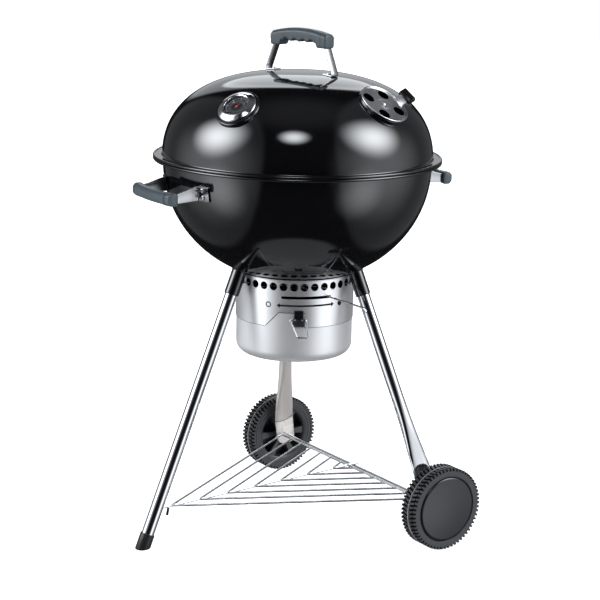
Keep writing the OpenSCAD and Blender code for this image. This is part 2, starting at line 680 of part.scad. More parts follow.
// ---- Lid damper ----
disc_z = seat_top + 0.3;
disc_t = 1.2;
tab_az = 90;
tab_slope = 35;
tab_root = 42;
module damper_place() { on_lid(damper_az, damper_r_pos) children(); }
module damper_disc() {
    color(steel) damper_place() difference() {
        union() {
            translate([0, 0, disc_z]) cylinder(r = damper_r, h = disc_t);
            translate([0, 0, disc_z + 1.5]) rotate_extrude() translate([damper_r - 1.4, 0]) circle(r = 1.5);
            rotate([0, 0, tab_az]) translate([tab_root, 0, disc_z]) rotate([0, -tab_slope, 0])
                translate([0, -12, 0]) cube([26, 24, 1.4]);
        }
        for (i = [0:3]) rotate([0, 0, 47 + 90 * i]) translate([damper_hole_pos, 0, -1])
            cylinder(r = damper_hole_r, h = 10);
        translate([0, 0, -1]) cylinder(r = 3.05, h = 10);
    }
}
module damper_knob() {
    color(plastic) damper_place() rotate([0, 0, tab_az]) translate([tab_root, 0, disc_z])
        rotate([0, -tab_slope, 0]) difference() {
            translate([16, -16, -4.8]) cube([18, 32, 11]);
            translate([10, -12.1, -0.1]) cube([16.2, 24.2, 1.6]);
        }
}
module damper_rivet() {
    color(steel) damper_place() {
        translate([0, 0, -4]) cylinder(r = 3, h = disc_z + disc_t + 4.2);
        translate([0, 0, disc_z + disc_t + 0.15]) cylinder(r = 5.5, h = 1.8);
        translate([0, 0, -4]) cylinder(r = 6, h = 3.4);
    }
}

// ---- Thermometer ----
module thermo_place() { on_lid(thermo_az, thermo_r_pos) children(); }
module thermometer_housing() {
    color(plastic) thermo_place() translate([0, 0, seat_top + 0.02]) cylinder(r = 42.5, h = 2.48);
}
module thermometer_bezel() {
    color(chrome) thermo_place() rotate_extrude($fn = 96) polygon([
        [38.5, 3.6], [38.5, 4.6], [36.5, 6.6], [29, 10.6], [25.5, 11], [23.2, 9.6], [23.2, 9.3],
        [24.8, 9.3], [24.8, 3.6]]);
}
module thermometer_dial() {
    color(plastic) thermo_place() {
        translate([0, 0, 3.6]) cylinder(r = 24.6, h = 1.2);
        translate([0, 0, 4.7]) cylinder(r = 0.8, h = 2.3);
    }
}
module thermometer_lens() {
    color([0.8, 0.9, 1, 0.3]) thermo_place() translate([0, 0, 8]) cylinder(r = 24.6, h = 1.2);
}
needle_turn = 149;
module thermometer_needle() {
    color([0.8, 0.1, 0.1]) thermo_place() difference() {
        union() {
            translate([0, 0, 5.2]) cylinder(r = 2.2, h = 1.4);
            rotate([0, 0, needle_turn]) translate([0, 0, 5.5]) linear_extrude(0.7)
                polygon([[-9, -1.3], [-9, 1.3], [17, 0.5], [17, -0.5]]);
        }
        translate([0, 0, 4]) cylinder(r = 0.85, h = 4);
    }
}
probe_z = -50;
module thermometer_probe() {
    color(steel) thermo_place() {
        translate([0, 0, -11]) cylinder(r = 5.5, h = 11 + seat_top);
        translate([0, 0, probe_z]) cylinder(r = 3, h = -probe_z);
    }
}
module probe_nut() {
    color(steel) thermo_place() translate([0, 0, -6.6]) hex_nut(10, 6, 5.52);
}

// ---- Grates ----
grate_r = 258;
charcoal_r = 214;
flap_x = 150;
frame_r = 3;
module arc_rod(r, a0, a1, wire) {
    rotate([0, 0, a0]) rotate_extrude(angle = a1 - a0) translate([r, 0]) circle(r = wire, $fn = 24);
}
module charcoal_grate() {
    step = 22;
    color(steel) kettle() translate([0, 0, charcoal_z]) {
        arc_rod(charcoal_r, 0, 360, 4);
        for (i = [-8:8]) {
            half = sqrt(pow(charcoal_r, 2) - pow(i * step, 2));
            rod([i * step, -half, 0], [i * step, half, 0], 3, $fn = 16);
        }
        for (y = [-105, 105]) {
            half = sqrt(pow(charcoal_r, 2) - y * y);
            rod([-half, y, -4.6], [half, y, -4.6], 3, $fn = 16);
        }
    }
}
edge_a = acos(flap_x / grate_r);
flap_gap = 3;
module cooking_grate() {
    step = 18;
    lap = 1.5;
    half_edge = sqrt(pow(grate_r, 2) - pow(flap_x, 2));
    color(chrome) kettle() translate([0, 0, cooking_z]) {
        for (side = [0, 180]) rotate([0, 0, side]) arc_rod(grate_r, edge_a - lap, 180 - edge_a + lap, frame_r + 0.4);
        for (x = [-flap_x, flap_x]) rod([x, -half_edge, 0], [x, half_edge, 0], frame_r);
        for (i = [-7:7]) {
            half = sqrt(pow(grate_r, 2) - pow(i * step, 2));
            rod([i * step, -half, 0], [i * step, half, 0], 2);
        }
        for (y = [-100, 100]) rod([-flap_x, y, 0], [flap_x, y, 0], frame_r - 0.5);
    }
}
// Hinged segment of the cooking grate, which turns on the straight edge rod
module flap() {
    step = 18;
    x0 = flap_x + 12;
    a = acos(x0 / (grate_r));
    color(chrome) {
        arc_rod(grate_r, -a, a, frame_r);
        for (i = [0:4]) {
            x = x0 + i * step;
            half = sqrt(pow(grate_r, 2) - pow(x, 2));
            rod([x, -half, 0], [x, half, 0], 2);
        }
        for (y = [-70, 70]) {
            translate([flap_x, y, 0]) rotate([90, 0, 0]) difference() {
                translate([0, 0, -5]) cylinder(r = 5.5, h = 10);
                translate([0, 0, -6]) cylinder(r = frame_r + 0.06, h = 12);
            }
            rod([flap_x + 4.5, y, 0], [sqrt(pow(grate_r, 2) - y * y), y, 0], 2);
        }
    }
}
module right_flap() { kettle() translate([0, 0, cooking_z]) flap(); }
module left_flap() { kettle() translate([0, 0, cooking_z]) rotate([0, 0, 180]) flap(); }

bowl();
leg_sockets();
front_leg();
right_leg();
rear_leg();
foot_cap();
axle();
axle_caps();
bottom_rack();
rack_peg();
ash_ring();
ring_hooks();
latch_catch();
left_handle_strap();
right_handle_strap();
left_grip();
right_grip();
side_handle_bolts();
side_handle_nuts();
grate_brackets();
vent_blades();
vent_spindle();
vent_nut();
vent_lever();
ash_bucket();
bucket_latch_plate();
latch_bail();
lid();
lid_handle_strap();
lid_grip();
lid_handle_screws();
lid_handle_nuts();
damper_rivet();
damper_disc();
damper_knob();
thermometer_housing();
thermometer_bezel();
thermometer_dial();
thermometer_lens();
thermometer_probe();
probe_nut();
thermometer_needle();
right_wheel();
right_hubcap();
rear_wheel();
rear_hubcap();
charcoal_grate();
cooking_grate();
left_flap();
right_flap();
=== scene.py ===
"""Kettle charcoal grill: the looks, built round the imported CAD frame.

Shapes are in millimetres from the kettle's axis at the floor; TO_FRAME takes them to the row frame in metres.
"""

import math

import bmesh
import bpy
from mathutils import Matrix, Vector


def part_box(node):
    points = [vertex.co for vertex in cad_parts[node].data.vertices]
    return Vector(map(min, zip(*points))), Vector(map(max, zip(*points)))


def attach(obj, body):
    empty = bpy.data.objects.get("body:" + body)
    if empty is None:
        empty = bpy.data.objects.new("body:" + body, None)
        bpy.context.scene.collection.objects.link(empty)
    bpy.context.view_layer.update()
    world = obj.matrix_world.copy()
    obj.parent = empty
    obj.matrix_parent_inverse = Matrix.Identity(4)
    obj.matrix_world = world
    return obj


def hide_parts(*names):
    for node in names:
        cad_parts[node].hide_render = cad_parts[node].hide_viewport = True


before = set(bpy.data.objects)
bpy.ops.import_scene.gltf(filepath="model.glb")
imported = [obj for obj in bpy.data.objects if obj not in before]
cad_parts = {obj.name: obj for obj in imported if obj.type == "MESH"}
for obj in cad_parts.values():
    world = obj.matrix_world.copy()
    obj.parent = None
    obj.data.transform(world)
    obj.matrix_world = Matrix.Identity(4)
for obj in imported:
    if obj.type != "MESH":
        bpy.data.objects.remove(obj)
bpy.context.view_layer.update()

# ---------------------------------------------------------------- places taken from the frame
MM = 0.001
STILL = Matrix.Identity(4)
bowl_low, bowl_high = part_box("bowl")
AXIS = Vector(((bowl_low.x + bowl_high.x) / 2, (bowl_low.y + bowl_high.y) / 2, 0))
TO_FRAME = Matrix.Translation(AXIS) @ Matrix.Scale(MM, 4)

SHEET = 1.5
RIM_R = (bowl_high.x - bowl_low.x) / 2 / MM
SEAM_Z = bowl_high.z / MM + 0.2
HANDLE_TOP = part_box("lid_grip")[1].z / MM

# Superellipse shells: radius, height, base and the two exponents
LID = dict(r=270.4, h=176.4, base=753.2, up=1, e_r=0.778, e_z=0.857)
BOWL = dict(r=268.1, h=237.1, base=749.3, up=-1, e_r=0.929, e_z=0.989)

DAMPER_AZ, DAMPER_R = 316, 210
THERMO_AZ, THERMO_R = 234, 218
HANDLE_AZ, HANDLE_Z = 207.6, 706
FOOT_Z, FOOT_HALF, FOOT_ANGLE = 713, 14, 16.6
LATCH_AZ = 270
AXLE_Y, AXLE_Z, WHEEL_X, WHEEL_R, WHEEL_HALF = 164, 83.6, 293.2, 83.6, 23.15
LEG_SLOPE = 0.4041
ALONG_LEG = Vector((0, -LEG_SLOPE, 1)).normalized()


def sin(a):
    return math.sin(math.radians(a))


def cos(a):
    return math.cos(math.radians(a))


def lerp(a, b, t):
    return a + (b - a) * t


def smooth(t):
    t = min(max(t, 0), 1)
    return t * t * (3 - 2 * t)


def turn(axis, degrees):
    return Matrix.Rotation(math.radians(degrees), 4, axis)


def shift(x, y, z):
    return Matrix.Translation((x, y, z))


def shell_point(shell, t, inset=0):
    """Point (radius, height) of a shell at t degrees, 0 at its rim and 90 at its pole."""
    r = (shell["r"] - inset) * max(cos(t), 0) ** shell["e_r"]
    return (r if t < 90 else 0, shell["base"] + shell["up"] * (shell["h"] - inset) * max(sin(t), 0) ** shell["e_z"])


def shell_height(shell, r):
    t = math.degrees(math.acos((r / shell["r"]) ** (1 / shell["e_r"])))
    return shell_point(shell, t)[1]


def bowl_radius(z):
    drop = (BOWL["base"] - z) / BOWL["h"]
    return shell_point(BOWL, math.degrees(math.asin(drop ** (1 / BOWL["e_z"]))))[0]


def leg_r(z):
    """Distance of a leg's centre line from the kettle's axis."""
    return 351.6 - LEG_SLOPE * z


def on_lid(az, r):
    """Place on the lid, with +Z along its outward normal and +X down the slope."""
    tilt = math.degrees(math.atan2(shell_height(LID, r - 1) - shell_height(LID, r + 1), 2))
    return turn("Z", az) @ shift(r, 0, shell_height(LID, r)) @ turn("Y", tilt)


STAND = turn("Z", 120)
DAMPER = on_lid(DAMPER_AZ, DAMPER_R)
THERMO = on_lid(THERMO_AZ, THERMO_R)
LID_HANDLE = turn("Z", DAMPER_AZ) @ shift(5, 0, 0)


def wheel_place(side):
    return STAND @ shift(side * WHEEL_X, -AXLE_Y, AXLE_Z) @ turn("Y", 90 * side)


# ---------------------------------------------------------------- shapes: (vertices, faces) pairs
def soften(points, radius, closed=False, steps=4):
    """Rounds each corner of a path with a curve that starts radius away from it."""
    points = [Vector(p) for p in points]
    n = len(points)
    out = [] if closed else [points[0]]
    for i in range(0 if closed else 1, n if closed else n - 1):
        p, a, b = points[i], points[i - 1], points[(i + 1) % n]
        start = p + (a - p).normalized() * min(radius, (a - p).length * 0.48)
        end = p + (b - p).normalized() * min(radius, (b - p).length * 0.48)
        for k in range(steps + 1):
            s = k / steps
            out.append(start * (1 - s) ** 2 + p * 2 * s * (1 - s) + end * s * s)
    return out if closed else out + [points[-1]]


def arc(cx, cy, r, a0, a1, steps=12):
    return [(cx + r * cos(lerp(a0, a1, k / steps)), cy + r * sin(lerp(a0, a1, k / steps))) for k in range(steps + 1)]


def refine(points, step):
    """Adds points so that none of a path's stretches is longer than step."""
    points = [Vector(p) for p in points]
    out = [points[0]]
    for a, b in zip(points, points[1:]):
        n = max(1, math.ceil((b - a).length / step))
        out += [a.lerp(b, k / n) for k in range(1, n + 1)]
    return out


def lathe(outline, steps=96, closed=False):
    """An outline of (radius, height) points turned about +Z."""
    verts, rings, faces = [], [], []
    for r, z in outline:
        n = 1 if r < 1e-6 else steps
        rings.append(range(len(verts), len(verts) + n))
        verts += [(r * cos(360 * k / steps), r * sin(360 * k / steps), z) for k in range(n)]
    for a, b in zip(rings, list(rings[1:]) + ([rings[0]] if closed else [])):
        for k in range(steps):
            j = (k + 1) % steps
            face = [a[k % len(a)], a[j % len(a)], b[j % len(b)], b[k % len(b)]]
            face = [v for i, v in enumerate(face) if v not in face[:i]]
            if len(face) > 2:
                faces.append(face)
    return verts, faces


def loft(rings, closed=False):
    """A skin over a row of equal rings, with flat caps unless it is closed."""
    n, m = len(rings[0]), len(rings)
    verts = [tuple(v) for ring in rings for v in ring]
    faces = []
    for i in range(m if closed else m - 1):
        a, b = i * n, (i + 1) % m * n
        faces += [(a + k, a + (k + 1) % n, b + (k + 1) % n, b + k) for k in range(n)]
    if not closed:
        faces += [tuple(range(n))[::-1], tuple(range((m - 1) * n, m * n))]
    return verts, faces


def path_frames(path, closed=False):
    """(point, side, up) along a path, turned as little as possible from one point to the next."""
    path = [Vector(p) for p in path]
    n = len(path)
    out, side = [], None
    for i, p in enumerate(path):
        ahead = path[(i + 1) % n] if closed or i < n - 1 else p
        behind = path[i - 1] if closed or i else p
        t = (ahead - behind).normalized()
        if side is None:
            side = t.orthogonal()
        side = (side - t * side.dot(t)).normalized()
        out.append((p, side, t.cross(side)))
    return out


def tube(path, r, sides=20, closed=False):
    """A round bar along a path, with slightly rounded ends."""
    stations = path_frames(path, closed)
    ring = lambda p, u, w, q: [p + q * (cos(360 * k / sides) * u + sin(360 * k / sides) * w) for k in range(sides)]
    rings = [ring(p, u, w, r) for p, u, w in stations]
    if not closed:
        (p0, u0, w0), (p1, u1, w1) = stations[0], stations[-1]
        tip = 0.25 * r
        out0 = (p0 - stations[1][0]).normalized() * tip
        out1 = (p1 - stations[-2][0]).normalized() * tip
        rings = [ring(p0 + out0, u0, w0, r - tip)] + rings + [ring(p1 + out1, u1, w1, r - tip)]
    return loft(rings, closed)


def bar(a, b, r, sides=20):
    return tube([a, b], r, sides)


def join(*shapes):
    verts, faces = [], []
    for v, f in shapes:
        n = len(verts)
        verts += v
        faces += [tuple(i + n for i in face) for face in f]
    return verts, faces


def placed(shape, *places):
    """The shape once at each place."""
    return join(*[([tuple(m @ Vector(v)) for v in shape[0]], shape[1]) for m in places])


def block(size, centre, bevel, segments=3):
    """A box with rounded edges."""
    bm = bmesh.new()
    bmesh.ops.create_cube(bm, size=1)
    bmesh.ops.scale(bm, vec=size, verts=bm.verts)
    bmesh.ops.bevel(bm, geom=bm.edges[:], offset=bevel, segments=segments, profile=0.5, affect="EDGES")
    bmesh.ops.translate(bm, vec=centre, verts=bm.verts)
    bm.verts.index_update()
    shape = [tuple(v.co) for v in bm.verts], [tuple(v.index for v in f.verts) for f in bm.faces]
    bm.free()
    return shape


def raw_mesh(name, shape):
    mesh = bpy.data.meshes.new(name)
    mesh.from_pydata(shape[0], [], shape[1])
    bm = bmesh.new()
    bm.from_mesh(mesh)
    bmesh.ops.recalc_face_normals(bm, faces=bm.faces)
    bm.to_mesh(mesh)
    bm.free()
    return mesh


def carve(shape, *cutters):
    """The shape with the cutters taken away."""
    body = bpy.data.objects.new("carve_body", raw_mesh("carve_body", shape))
    tool = bpy.data.objects.new("carve_tool", raw_mesh("carve_tool", join(*cutters)))
    for o in (body, tool):
        bpy.context.scene.collection.objects.link(o)
    cut = body.modifiers.new("cut", "BOOLEAN")
    cut.operation, cut.object, cut.solver = "DIFFERENCE", tool, "EXACT"
    made = body.evaluated_get(bpy.context.evaluated_depsgraph_get()).to_mesh()
    result = [tuple(v.co) for v in made.vertices], [tuple(p.vertices) for p in made.polygons]
    for o in (body, tool):
        mesh = o.data
        bpy.data.objects.remove(o)
        bpy.data.meshes.remove(mesh)
    return result


def piece(name, shape, material, body, place=STILL, replaces=(), sharp=32):
    """A finished object that rides on a CAD body and stands for the named CAD nodes."""
    mesh = raw_mesh(name, shape)
    mesh.transform(TO_FRAME @ place)
    mesh.shade_smooth()
    mesh.set_sharp_from_angle(angle=math.radians(sharp))
    mesh.materials.append(material)
    obj = bpy.data.objects.new(name, mesh)
    bpy.context.scene.collection.objects.link(obj)
    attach(obj, body)
    if replaces:
        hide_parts(*replaces)
    return obj


def wall_strip(stations, r0, r1):
    """A strip bent round the Z axis, from r0 to r1; each station is (azimuth, low z, high z)."""
    return loft([[(r0 * cos(a), r0 * sin(a), z0), (r1 * cos(a), r1 * sin(a), z0),
                  (r1 * cos(a), r1 * sin(a), z1), (r0 * cos(a), r0 * sin(a), z1)] for a, z0, z1 in stations])


# ---------------------------------------------------------------- materials
def material(name, colour, metallic=0.0, roughness=(0.3, 0.4), grain=(200, 200, 200), bump=0.02, depth=0.0004,
             mottle=0.06, cloud=9.0, gloss=0.5, detail=3.0, centre=AXIS):
    """A procedural finish: grain is the bump's frequency per metre along each axis, cloud the frequency of the
    slow variation that moves both colour and roughness."""
    m = bpy.data.materials.new(name)
    m.use_nodes = True
    nodes, links = m.node_tree.nodes, m.node_tree.links
    bsdf = nodes["Principled BSDF"]
    coords = nodes.new("ShaderNodeTexCoord")
    fine_map, slow_map = nodes.new("ShaderNodeMapping"), nodes.new("ShaderNodeMapping")
    for node, scale in ((fine_map, grain), (slow_map, (cloud,) * 3)):
        node.inputs["Scale"].default_value = scale
        node.inputs["Location"].default_value = [-c * s for c, s in zip(centre, scale)]
        links.new(coords.outputs["Object"], node.inputs["Vector"])
    fine, slow = nodes.new("ShaderNodeTexNoise"), nodes.new("ShaderNodeTexNoise")
    for node, source, levels in ((fine, fine_map, detail), (slow, slow_map, 4.0)):
        node.inputs["Scale"].default_value = 1.0
        node.inputs["Detail"].default_value = levels
        links.new(source.outputs["Vector"], node.inputs["Vector"])
    rough = nodes.new("ShaderNodeMapRange")
    rough.inputs["To Min"].default_value, rough.inputs["To Max"].default_value = roughness
    rough.inputs["From Min"].default_value, rough.inputs["From Max"].default_value = 0.3, 0.7
    links.new(slow.outputs["Fac"], rough.inputs["Value"])
    links.new(rough.outputs["Result"], bsdf.inputs["Roughness"])
    mix = nodes.new("ShaderNodeMix")
    mix.data_type = "RGBA"
    mix.inputs["A"].default_value = (*[c * (1 - mottle) for c in colour], 1)
    mix.inputs["B"].default_value = (*[min(1, c * (1 + mottle)) for c in colour], 1)
    links.new(slow.outputs["Fac"], mix.inputs["Factor"])
    links.new(mix.outputs["Result"], bsdf.inputs["Base Color"])
    if bump:
        relief = nodes.new("ShaderNodeBump")
        relief.inputs["Strength"].default_value = bump
        relief.inputs["Distance"].default_value = depth
        links.new(fine.outputs["Fac"], relief.inputs["Height"])
        links.new(relief.outputs["Normal"], bsdf.inputs["Normal"])
    bsdf.inputs["Metallic"].default_value = metallic
    bsdf.inputs["Specular IOR Level"].default_value = gloss
    return m


enamel = material("gloss_enamel", (0.002, 0.002, 0.0025), 0, (0.05, 0.085), (110,) * 3, 0.012, mottle=0.2, gloss=1.0)
chrome = material("polished_chrome", (0.66, 0.66, 0.68), 1, (0.05, 0.11), (300,) * 3, 0.004, mottle=0.03)
strap_steel = material("strap_steel", (0.40, 0.40, 0.41), 1, (0.16, 0.26), (60, 60, 900), 0.03, mottle=0.05)
brushed = material("brushed_steel", (0.86, 0.865, 0.88), 0.9, (0.32, 0.40), (14, 14, 1500), 0.16, 0.0003, mottle=0.05)
bucket_steel = material("bucket_steel", (0.82, 0.825, 0.84), 0.84, (0.44, 0.52), (14, 14, 1200), 0.20, 0.0004,
                        mottle=0.06)
# Painted highlight: the damper's tab, bent from the same steel as its plate, gets this brighter steel
tab_highlight_steel = material("tab_highlight_steel", (0.90, 0.90, 0.91), 1, (0.30, 0.40), (260,) * 3, 0.05, mottle=0.05)
steel = material("plated_steel", (0.60, 0.61, 0.63), 1, (0.22, 0.34), (260,) * 3, 0.03, mottle=0.08)
satin_leg = material("satin_leg", (0.66, 0.615, 0.59), 0.74, (0.36, 0.46), (400, 400, 20), 0.05, mottle=0.06)
pinched = material("pinched_steel", (0.66, 0.625, 0.595), 0.85, (0.36, 0.56), (90,) * 3, 0.45, 0.004, mottle=0.14,
                   cloud=60)
wire = material("plated_wire", (0.66, 0.67, 0.69), 1, (0.16, 0.28), (300,) * 3, 0.02, mottle=0.08)
grate_wire = material("grate_wire", (0.62, 0.62, 0.63), 1, (0.20, 0.32), (260,) * 3, 0.03, mottle=0.1)
bare_steel = material("bare_steel", (0.30, 0.29, 0.28), 1, (0.38, 0.55), (180,) * 3, 0.12, mottle=0.2)
grip_plastic = material("grip_plastic", (0.052, 0.069, 0.080), 0, (0.36, 0.44), (1500,) * 3, 0.05, 0.0002, 0.08)
wheel_plastic = material("wheel_plastic", (0.022, 0.023, 0.026), 0, (0.34, 0.42), (1400,) * 3, 0.06, 0.0002, 0.10)
tyre_plastic = material("tyre_plastic", (0.018, 0.019, 0.022), 0, (0.34, 0.46), (1100,) * 3, 0.10, 0.0003, 0.10)
black_gloss = material("black_gloss", (0.004, 0.004, 0.0045), 0, (0.2, 0.28), (900,) * 3, 0.03, 0.0002, 0.10, gloss=0.3)
black_satin = material("black_satin", (0.008, 0.008, 0.009), 0, (0.34, 0.44), (1000,) * 3, 0.06, 0.0003, 0.10,
                       gloss=0.35)
dial_black = material("dial_black", (0.012, 0.014, 0.018), 0, (0.30, 0.36), (900,) * 3, 0.01, mottle=0.05)
dial_grey = material("dial_grey", (0.05, 0.056, 0.062), 0, (0.35, 0.40), (900,) * 3, 0.01, mottle=0.05)
mark_white = material("mark_white", (0.75, 0.76, 0.74), 0, (0.4, 0.5), (900,) * 3, 0.01, mottle=0.04)
mark_green = material("mark_green", (0.10, 0.45, 0.18), 0, (0.4, 0.5), (900,) * 3, 0.01, mottle=0.04)
mark_pink = material("mark_pink", (0.72, 0.20, 0.24), 0, (0.4, 0.5), (900,) * 3, 0.01, mottle=0.04)
needle_red = material("needle_red", (0.68, 0.03, 0.03), 0, (0.3, 0.4), (900,) * 3, 0.01, mottle=0.05)
print_black = material("print_black", (0.006, 0.006, 0.006), 0, (0.5, 0.6), (900,) * 3, 0.02, mottle=0.08, gloss=0.1)
# Painted shade: this black stands for shade at the leg's fold, under the ring's edge, between the tyre's lugs and
# inside the ring and bucket
shade_black = material("painted_shade_black", (0.004, 0.004, 0.004), 0, (0.7, 0.8), (700,) * 3, 0.1, mottle=0.2, gloss=0.05)
# Painted highlight: this grey on the tread's centre ridge stands for light caught along it
mould_line_highlight = material("mould_line_painted_highlight", (0.32, 0.32, 0.33), 0, (0.35, 0.45), (900,) * 3, 0.03, mottle=0.08)
hubcap_plastic = material("hubcap_plastic", (0.006, 0.0065, 0.008), 0, (0.15, 0.20), (1500,) * 3, 0.05, 0.0002, 0.10)


def glass_material():
    m = bpy.data.materials.new("lens_glass")
    m.use_nodes = True
    nodes, links = m.node_tree.nodes, m.node_tree.links
    bsdf = nodes["Principled BSDF"]
    noise, rough = nodes.new("ShaderNodeTexNoise"), nodes.new("ShaderNodeMapRange")
    noise.inputs["Scale"].default_value = 60
    rough.inputs["To Min"].default_value, rough.inputs["To Max"].default_value = 0.01, 0.04
    links.new(noise.outputs["Fac"], rough.inputs["Value"])
    links.new(rough.outputs["Result"], bsdf.inputs["Roughness"])
    bsdf.inputs["Base Color"].default_value = (0.96, 0.98, 1, 1)
    bsdf.inputs["Transmission Weight"].default_value = 1
    bsdf.inputs["IOR"].default_value = 1.06
    return m


lens_glass = glass_material()

# ---------------------------------------------------------------- lid and bowl
BEAD = 2.6
PLATE = 0.75
bead_open = math.degrees(math.asin(PLATE / BEAD))


def lip(side, r_wall):
    """Flange and rolled bead from the outer wall round to the inner wall; side is 1 for the lid, -1 for the bowl."""
    mid = SEAM_Z + side * (BEAD + 0.2)
    bead = [(r, lerp(mid, z, side)) for r, z in arc(RIM_R - BEAD, mid, BEAD, 180 - bead_open, -180 + bead_open, 18)]
    if side < 0:
        bead = [(r, 2 * mid - z) for r, z in arc(RIM_R - BEAD, mid, BEAD, 180 - bead_open, -180 + bead_open, 18)]
    outer, inner = mid + side * PLATE, mid - side * PLATE
    return (soften([(r_wall, outer + side * 5), (r_wall, outer), (r_wall + 8, outer)], 3.2)
            + [Vector(p) for p in bead]
            + soften([(r_wall + 4, inner), (r_wall - SHEET, inner), (r_wall - SHEET, inner + side * 6)], 2.4))


def shell_outline(shell, steps=72):
    """Closed outline of a shell, from the outer pole down to the lip and back to the inner pole."""
    side = shell["up"]
    start = 5 if side > 0 else 0
    ts = [lerp(90, start, k / steps) for k in range(steps + 1)]
    outer = [Vector(shell_point(shell, t)) for t in ts]
    inner = [Vector(shell_point(shell, t, SHEET)) for t in reversed(ts)]
    return outer + lip(side, shell["r"]) + inner


SEAT_R, THERMO_SEAT_R = 50, 44
HOLE_AZ = [47 + 90 * i for i in range(4)]
damper_holes = [placed(bar((33, 0, -20), (33, 0, 20), 12, 48), turn("Z", a)) for a in HOLE_AZ]

lid_shell = carve(lathe(shell_outline(LID), 192),
                  placed(bar((0, 0, -30), (0, 0, 30), SEAT_R - 0.7, 72), DAMPER),
                  placed(bar((0, 0, -30), (0, 0, 30), THERMO_SEAT_R - 0.7, 72), THERMO))
piece("lid_shell", lid_shell, enamel, "lid", replaces=["lid"])


def seat(r):
    """A stamped cup with a flat top, rounded shoulder and straight wall."""
    return [(0, 1)] + soften([(r - 9, 1), (r, 1), (r, -10.5)], 2.2) + [(r - SHEET, -10.5)] \
        + soften([(r - SHEET, -3), (r - SHEET, -0.5), (r - 9, -0.5)], 1.4) + [(0, -0.5)]


piece("damper_seat", carve(lathe(seat(SEAT_R), 96), *damper_holes), enamel, "lid", DAMPER)
piece("thermometer_seat", lathe(seat(THERMO_SEAT_R), 96), enamel, "lid", THERMO)

bowl_outline = shell_outline(BOWL)
VENT_IN, VENT_OUT = 38, 92
vent_cutters = [wall_strip([(30 + 120 * i - 20 + 40 * k / 12, 505, 575) for k in range(13)], VENT_IN, VENT_OUT)
                for i in range(3)]
piece("bowl_shell", carve(lathe(bowl_outline, 192), *vent_cutters), enamel, "stand", replaces=["bowl"])

# ---------------------------------------------------------------- lid handle
STRAP_W, STRAP_T = 20, 2.5
GRIP_L, GRIP_W, BELLY = 70.5, 29, 42
crown = lambda x: shell_height(LID, abs(x + 5)) + 0.4 + STRAP_T / 2
bar_z = HANDLE_TOP - 14


def rounded_section(w, t, r, steps=3):
    """Corners of a w by t rectangle with rounded corners, centred on the origin."""
    corners = [(-w / 2, -t / 2), (w / 2, -t / 2), (w / 2, t / 2), (-w / 2, t / 2)]
    return [tuple(p) for p in soften(corners, r, True, steps)]


def strap(path, width_axis, w, t):
    """A flat strip along a path; its width lies along width_axis."""
    width_axis = Vector(width_axis)
    path = [Vector(p) for p in path]
    rings = []
    for i, p in enumerate(path):
        along = (path[min(i + 1, len(path) - 1)] - path[max(i - 1, 0)]).normalized()
        across = along.cross(width_axis).normalized()
        rings.append([p + width_axis * a + across * b for a, b in rounded_section(w, t, 0.7, 2)])
    return loft(rings)


handle_path = soften([(62, 0, crown(62)), (86, 0, crown(86)), (60, 0, bar_z - 8), (52, 0, bar_z),
                      (-52, 0, bar_z), (-60, 0, bar_z - 8), (-86, 0, crown(-86)), (-62, 0, crown(-62))], 5)
piece("lid_handle_straps", strap(handle_path, (0, 1, 0), STRAP_W, STRAP_T), strap_steel, "lid", LID_HANDLE,
      ["lid_handle_strap"])


def grip_section(half_w, low, high, chamfer, rounding):
    """(across, up) points: rounded below, a long chamfer and a crowned back above."""
    corners = [(-half_w + 1.5, low), (half_w - 1.5, low), (half_w, low + 4), (half_w, high - chamfer),
               (half_w - chamfer, high - 0.8), (0, high), (-half_w + chamfer, high - 0.8), (-half_w, high - chamfer),
               (-half_w, low + 4)]
    return soften(corners, rounding, True, 2)


def lid_grip_rings():
    rings = []
    xs = [GRIP_L * k / 70 for k in range(-70, 71)]
    for x in xs:
        back = HANDLE_TOP - 9 * (x / GRIP_L) ** 2
        scallop = HANDLE_TOP - 24.5 - 2.7 * cos(x / BELLY * 180 * 4)
        foot = smooth((abs(x) - BELLY) / 7)
        low = lerp(scallop if abs(x) < BELLY else HANDLE_TOP - 26, HANDLE_TOP - 36, foot)
        half = lerp(12.6, GRIP_W / 2, smooth((abs(x) - 20) / 28))
        end = max(0, (abs(x) - GRIP_L + 3) / 3)
        pull = 2.4 * (1 - math.sqrt(max(0, 1 - end * end)))
        seam = 0.4 if abs(x - 57) <= 0.5 else 0
        inset = pull + seam
        rings.append([(x, a, z) for a, z in grip_section(half - inset, low + inset, back - inset, 6.5, 1.6)])
    return rings


piece("lid_grip_body", loft(lid_grip_rings()), grip_plastic, "lid", LID_HANDLE, ["lid_grip"], 40)


def dome_screw(r, h, shank, depth):
    """A pan head with a round socket recess, on its shank; z = 0 is under the head."""
    return lathe([(0, h * 0.45), (r * 0.42, h * 0.45), (r * 0.46, h * 0.98)]
                 + soften([(r * 0.5, h), (r * 0.8, h * 0.94), (r, h * 0.45), (r, 0)], r * 0.25)
                 + [(shank, 0), (shank, -depth), (0, -depth)], 32)


screw_places = [LID_HANDLE @ shift(x, 0, crown(x) + STRAP_T / 2) for x in (-70, 70)]
piece("lid_screws", placed(dome_screw(4.6, 2.5, 2.5, 12), *screw_places), steel, "lid",
      replaces=["lid_handle_screws"])

# ---------------------------------------------------------------- side handles
SIDE_L, SIDE_MID, SIDE_END, SIDE_DEEP, SIDE_H = 76.3, 337.5, 329.2, 21, 12.5
foot_r = bowl_radius(FOOT_Z)
foot_lean = (bowl_radius(FOOT_Z + 10) - bowl_radius(FOOT_Z - 10)) / 20


def side_face(y):
    return SIDE_MID - (SIDE_MID - SIDE_END) * (y / SIDE_L) ** 2


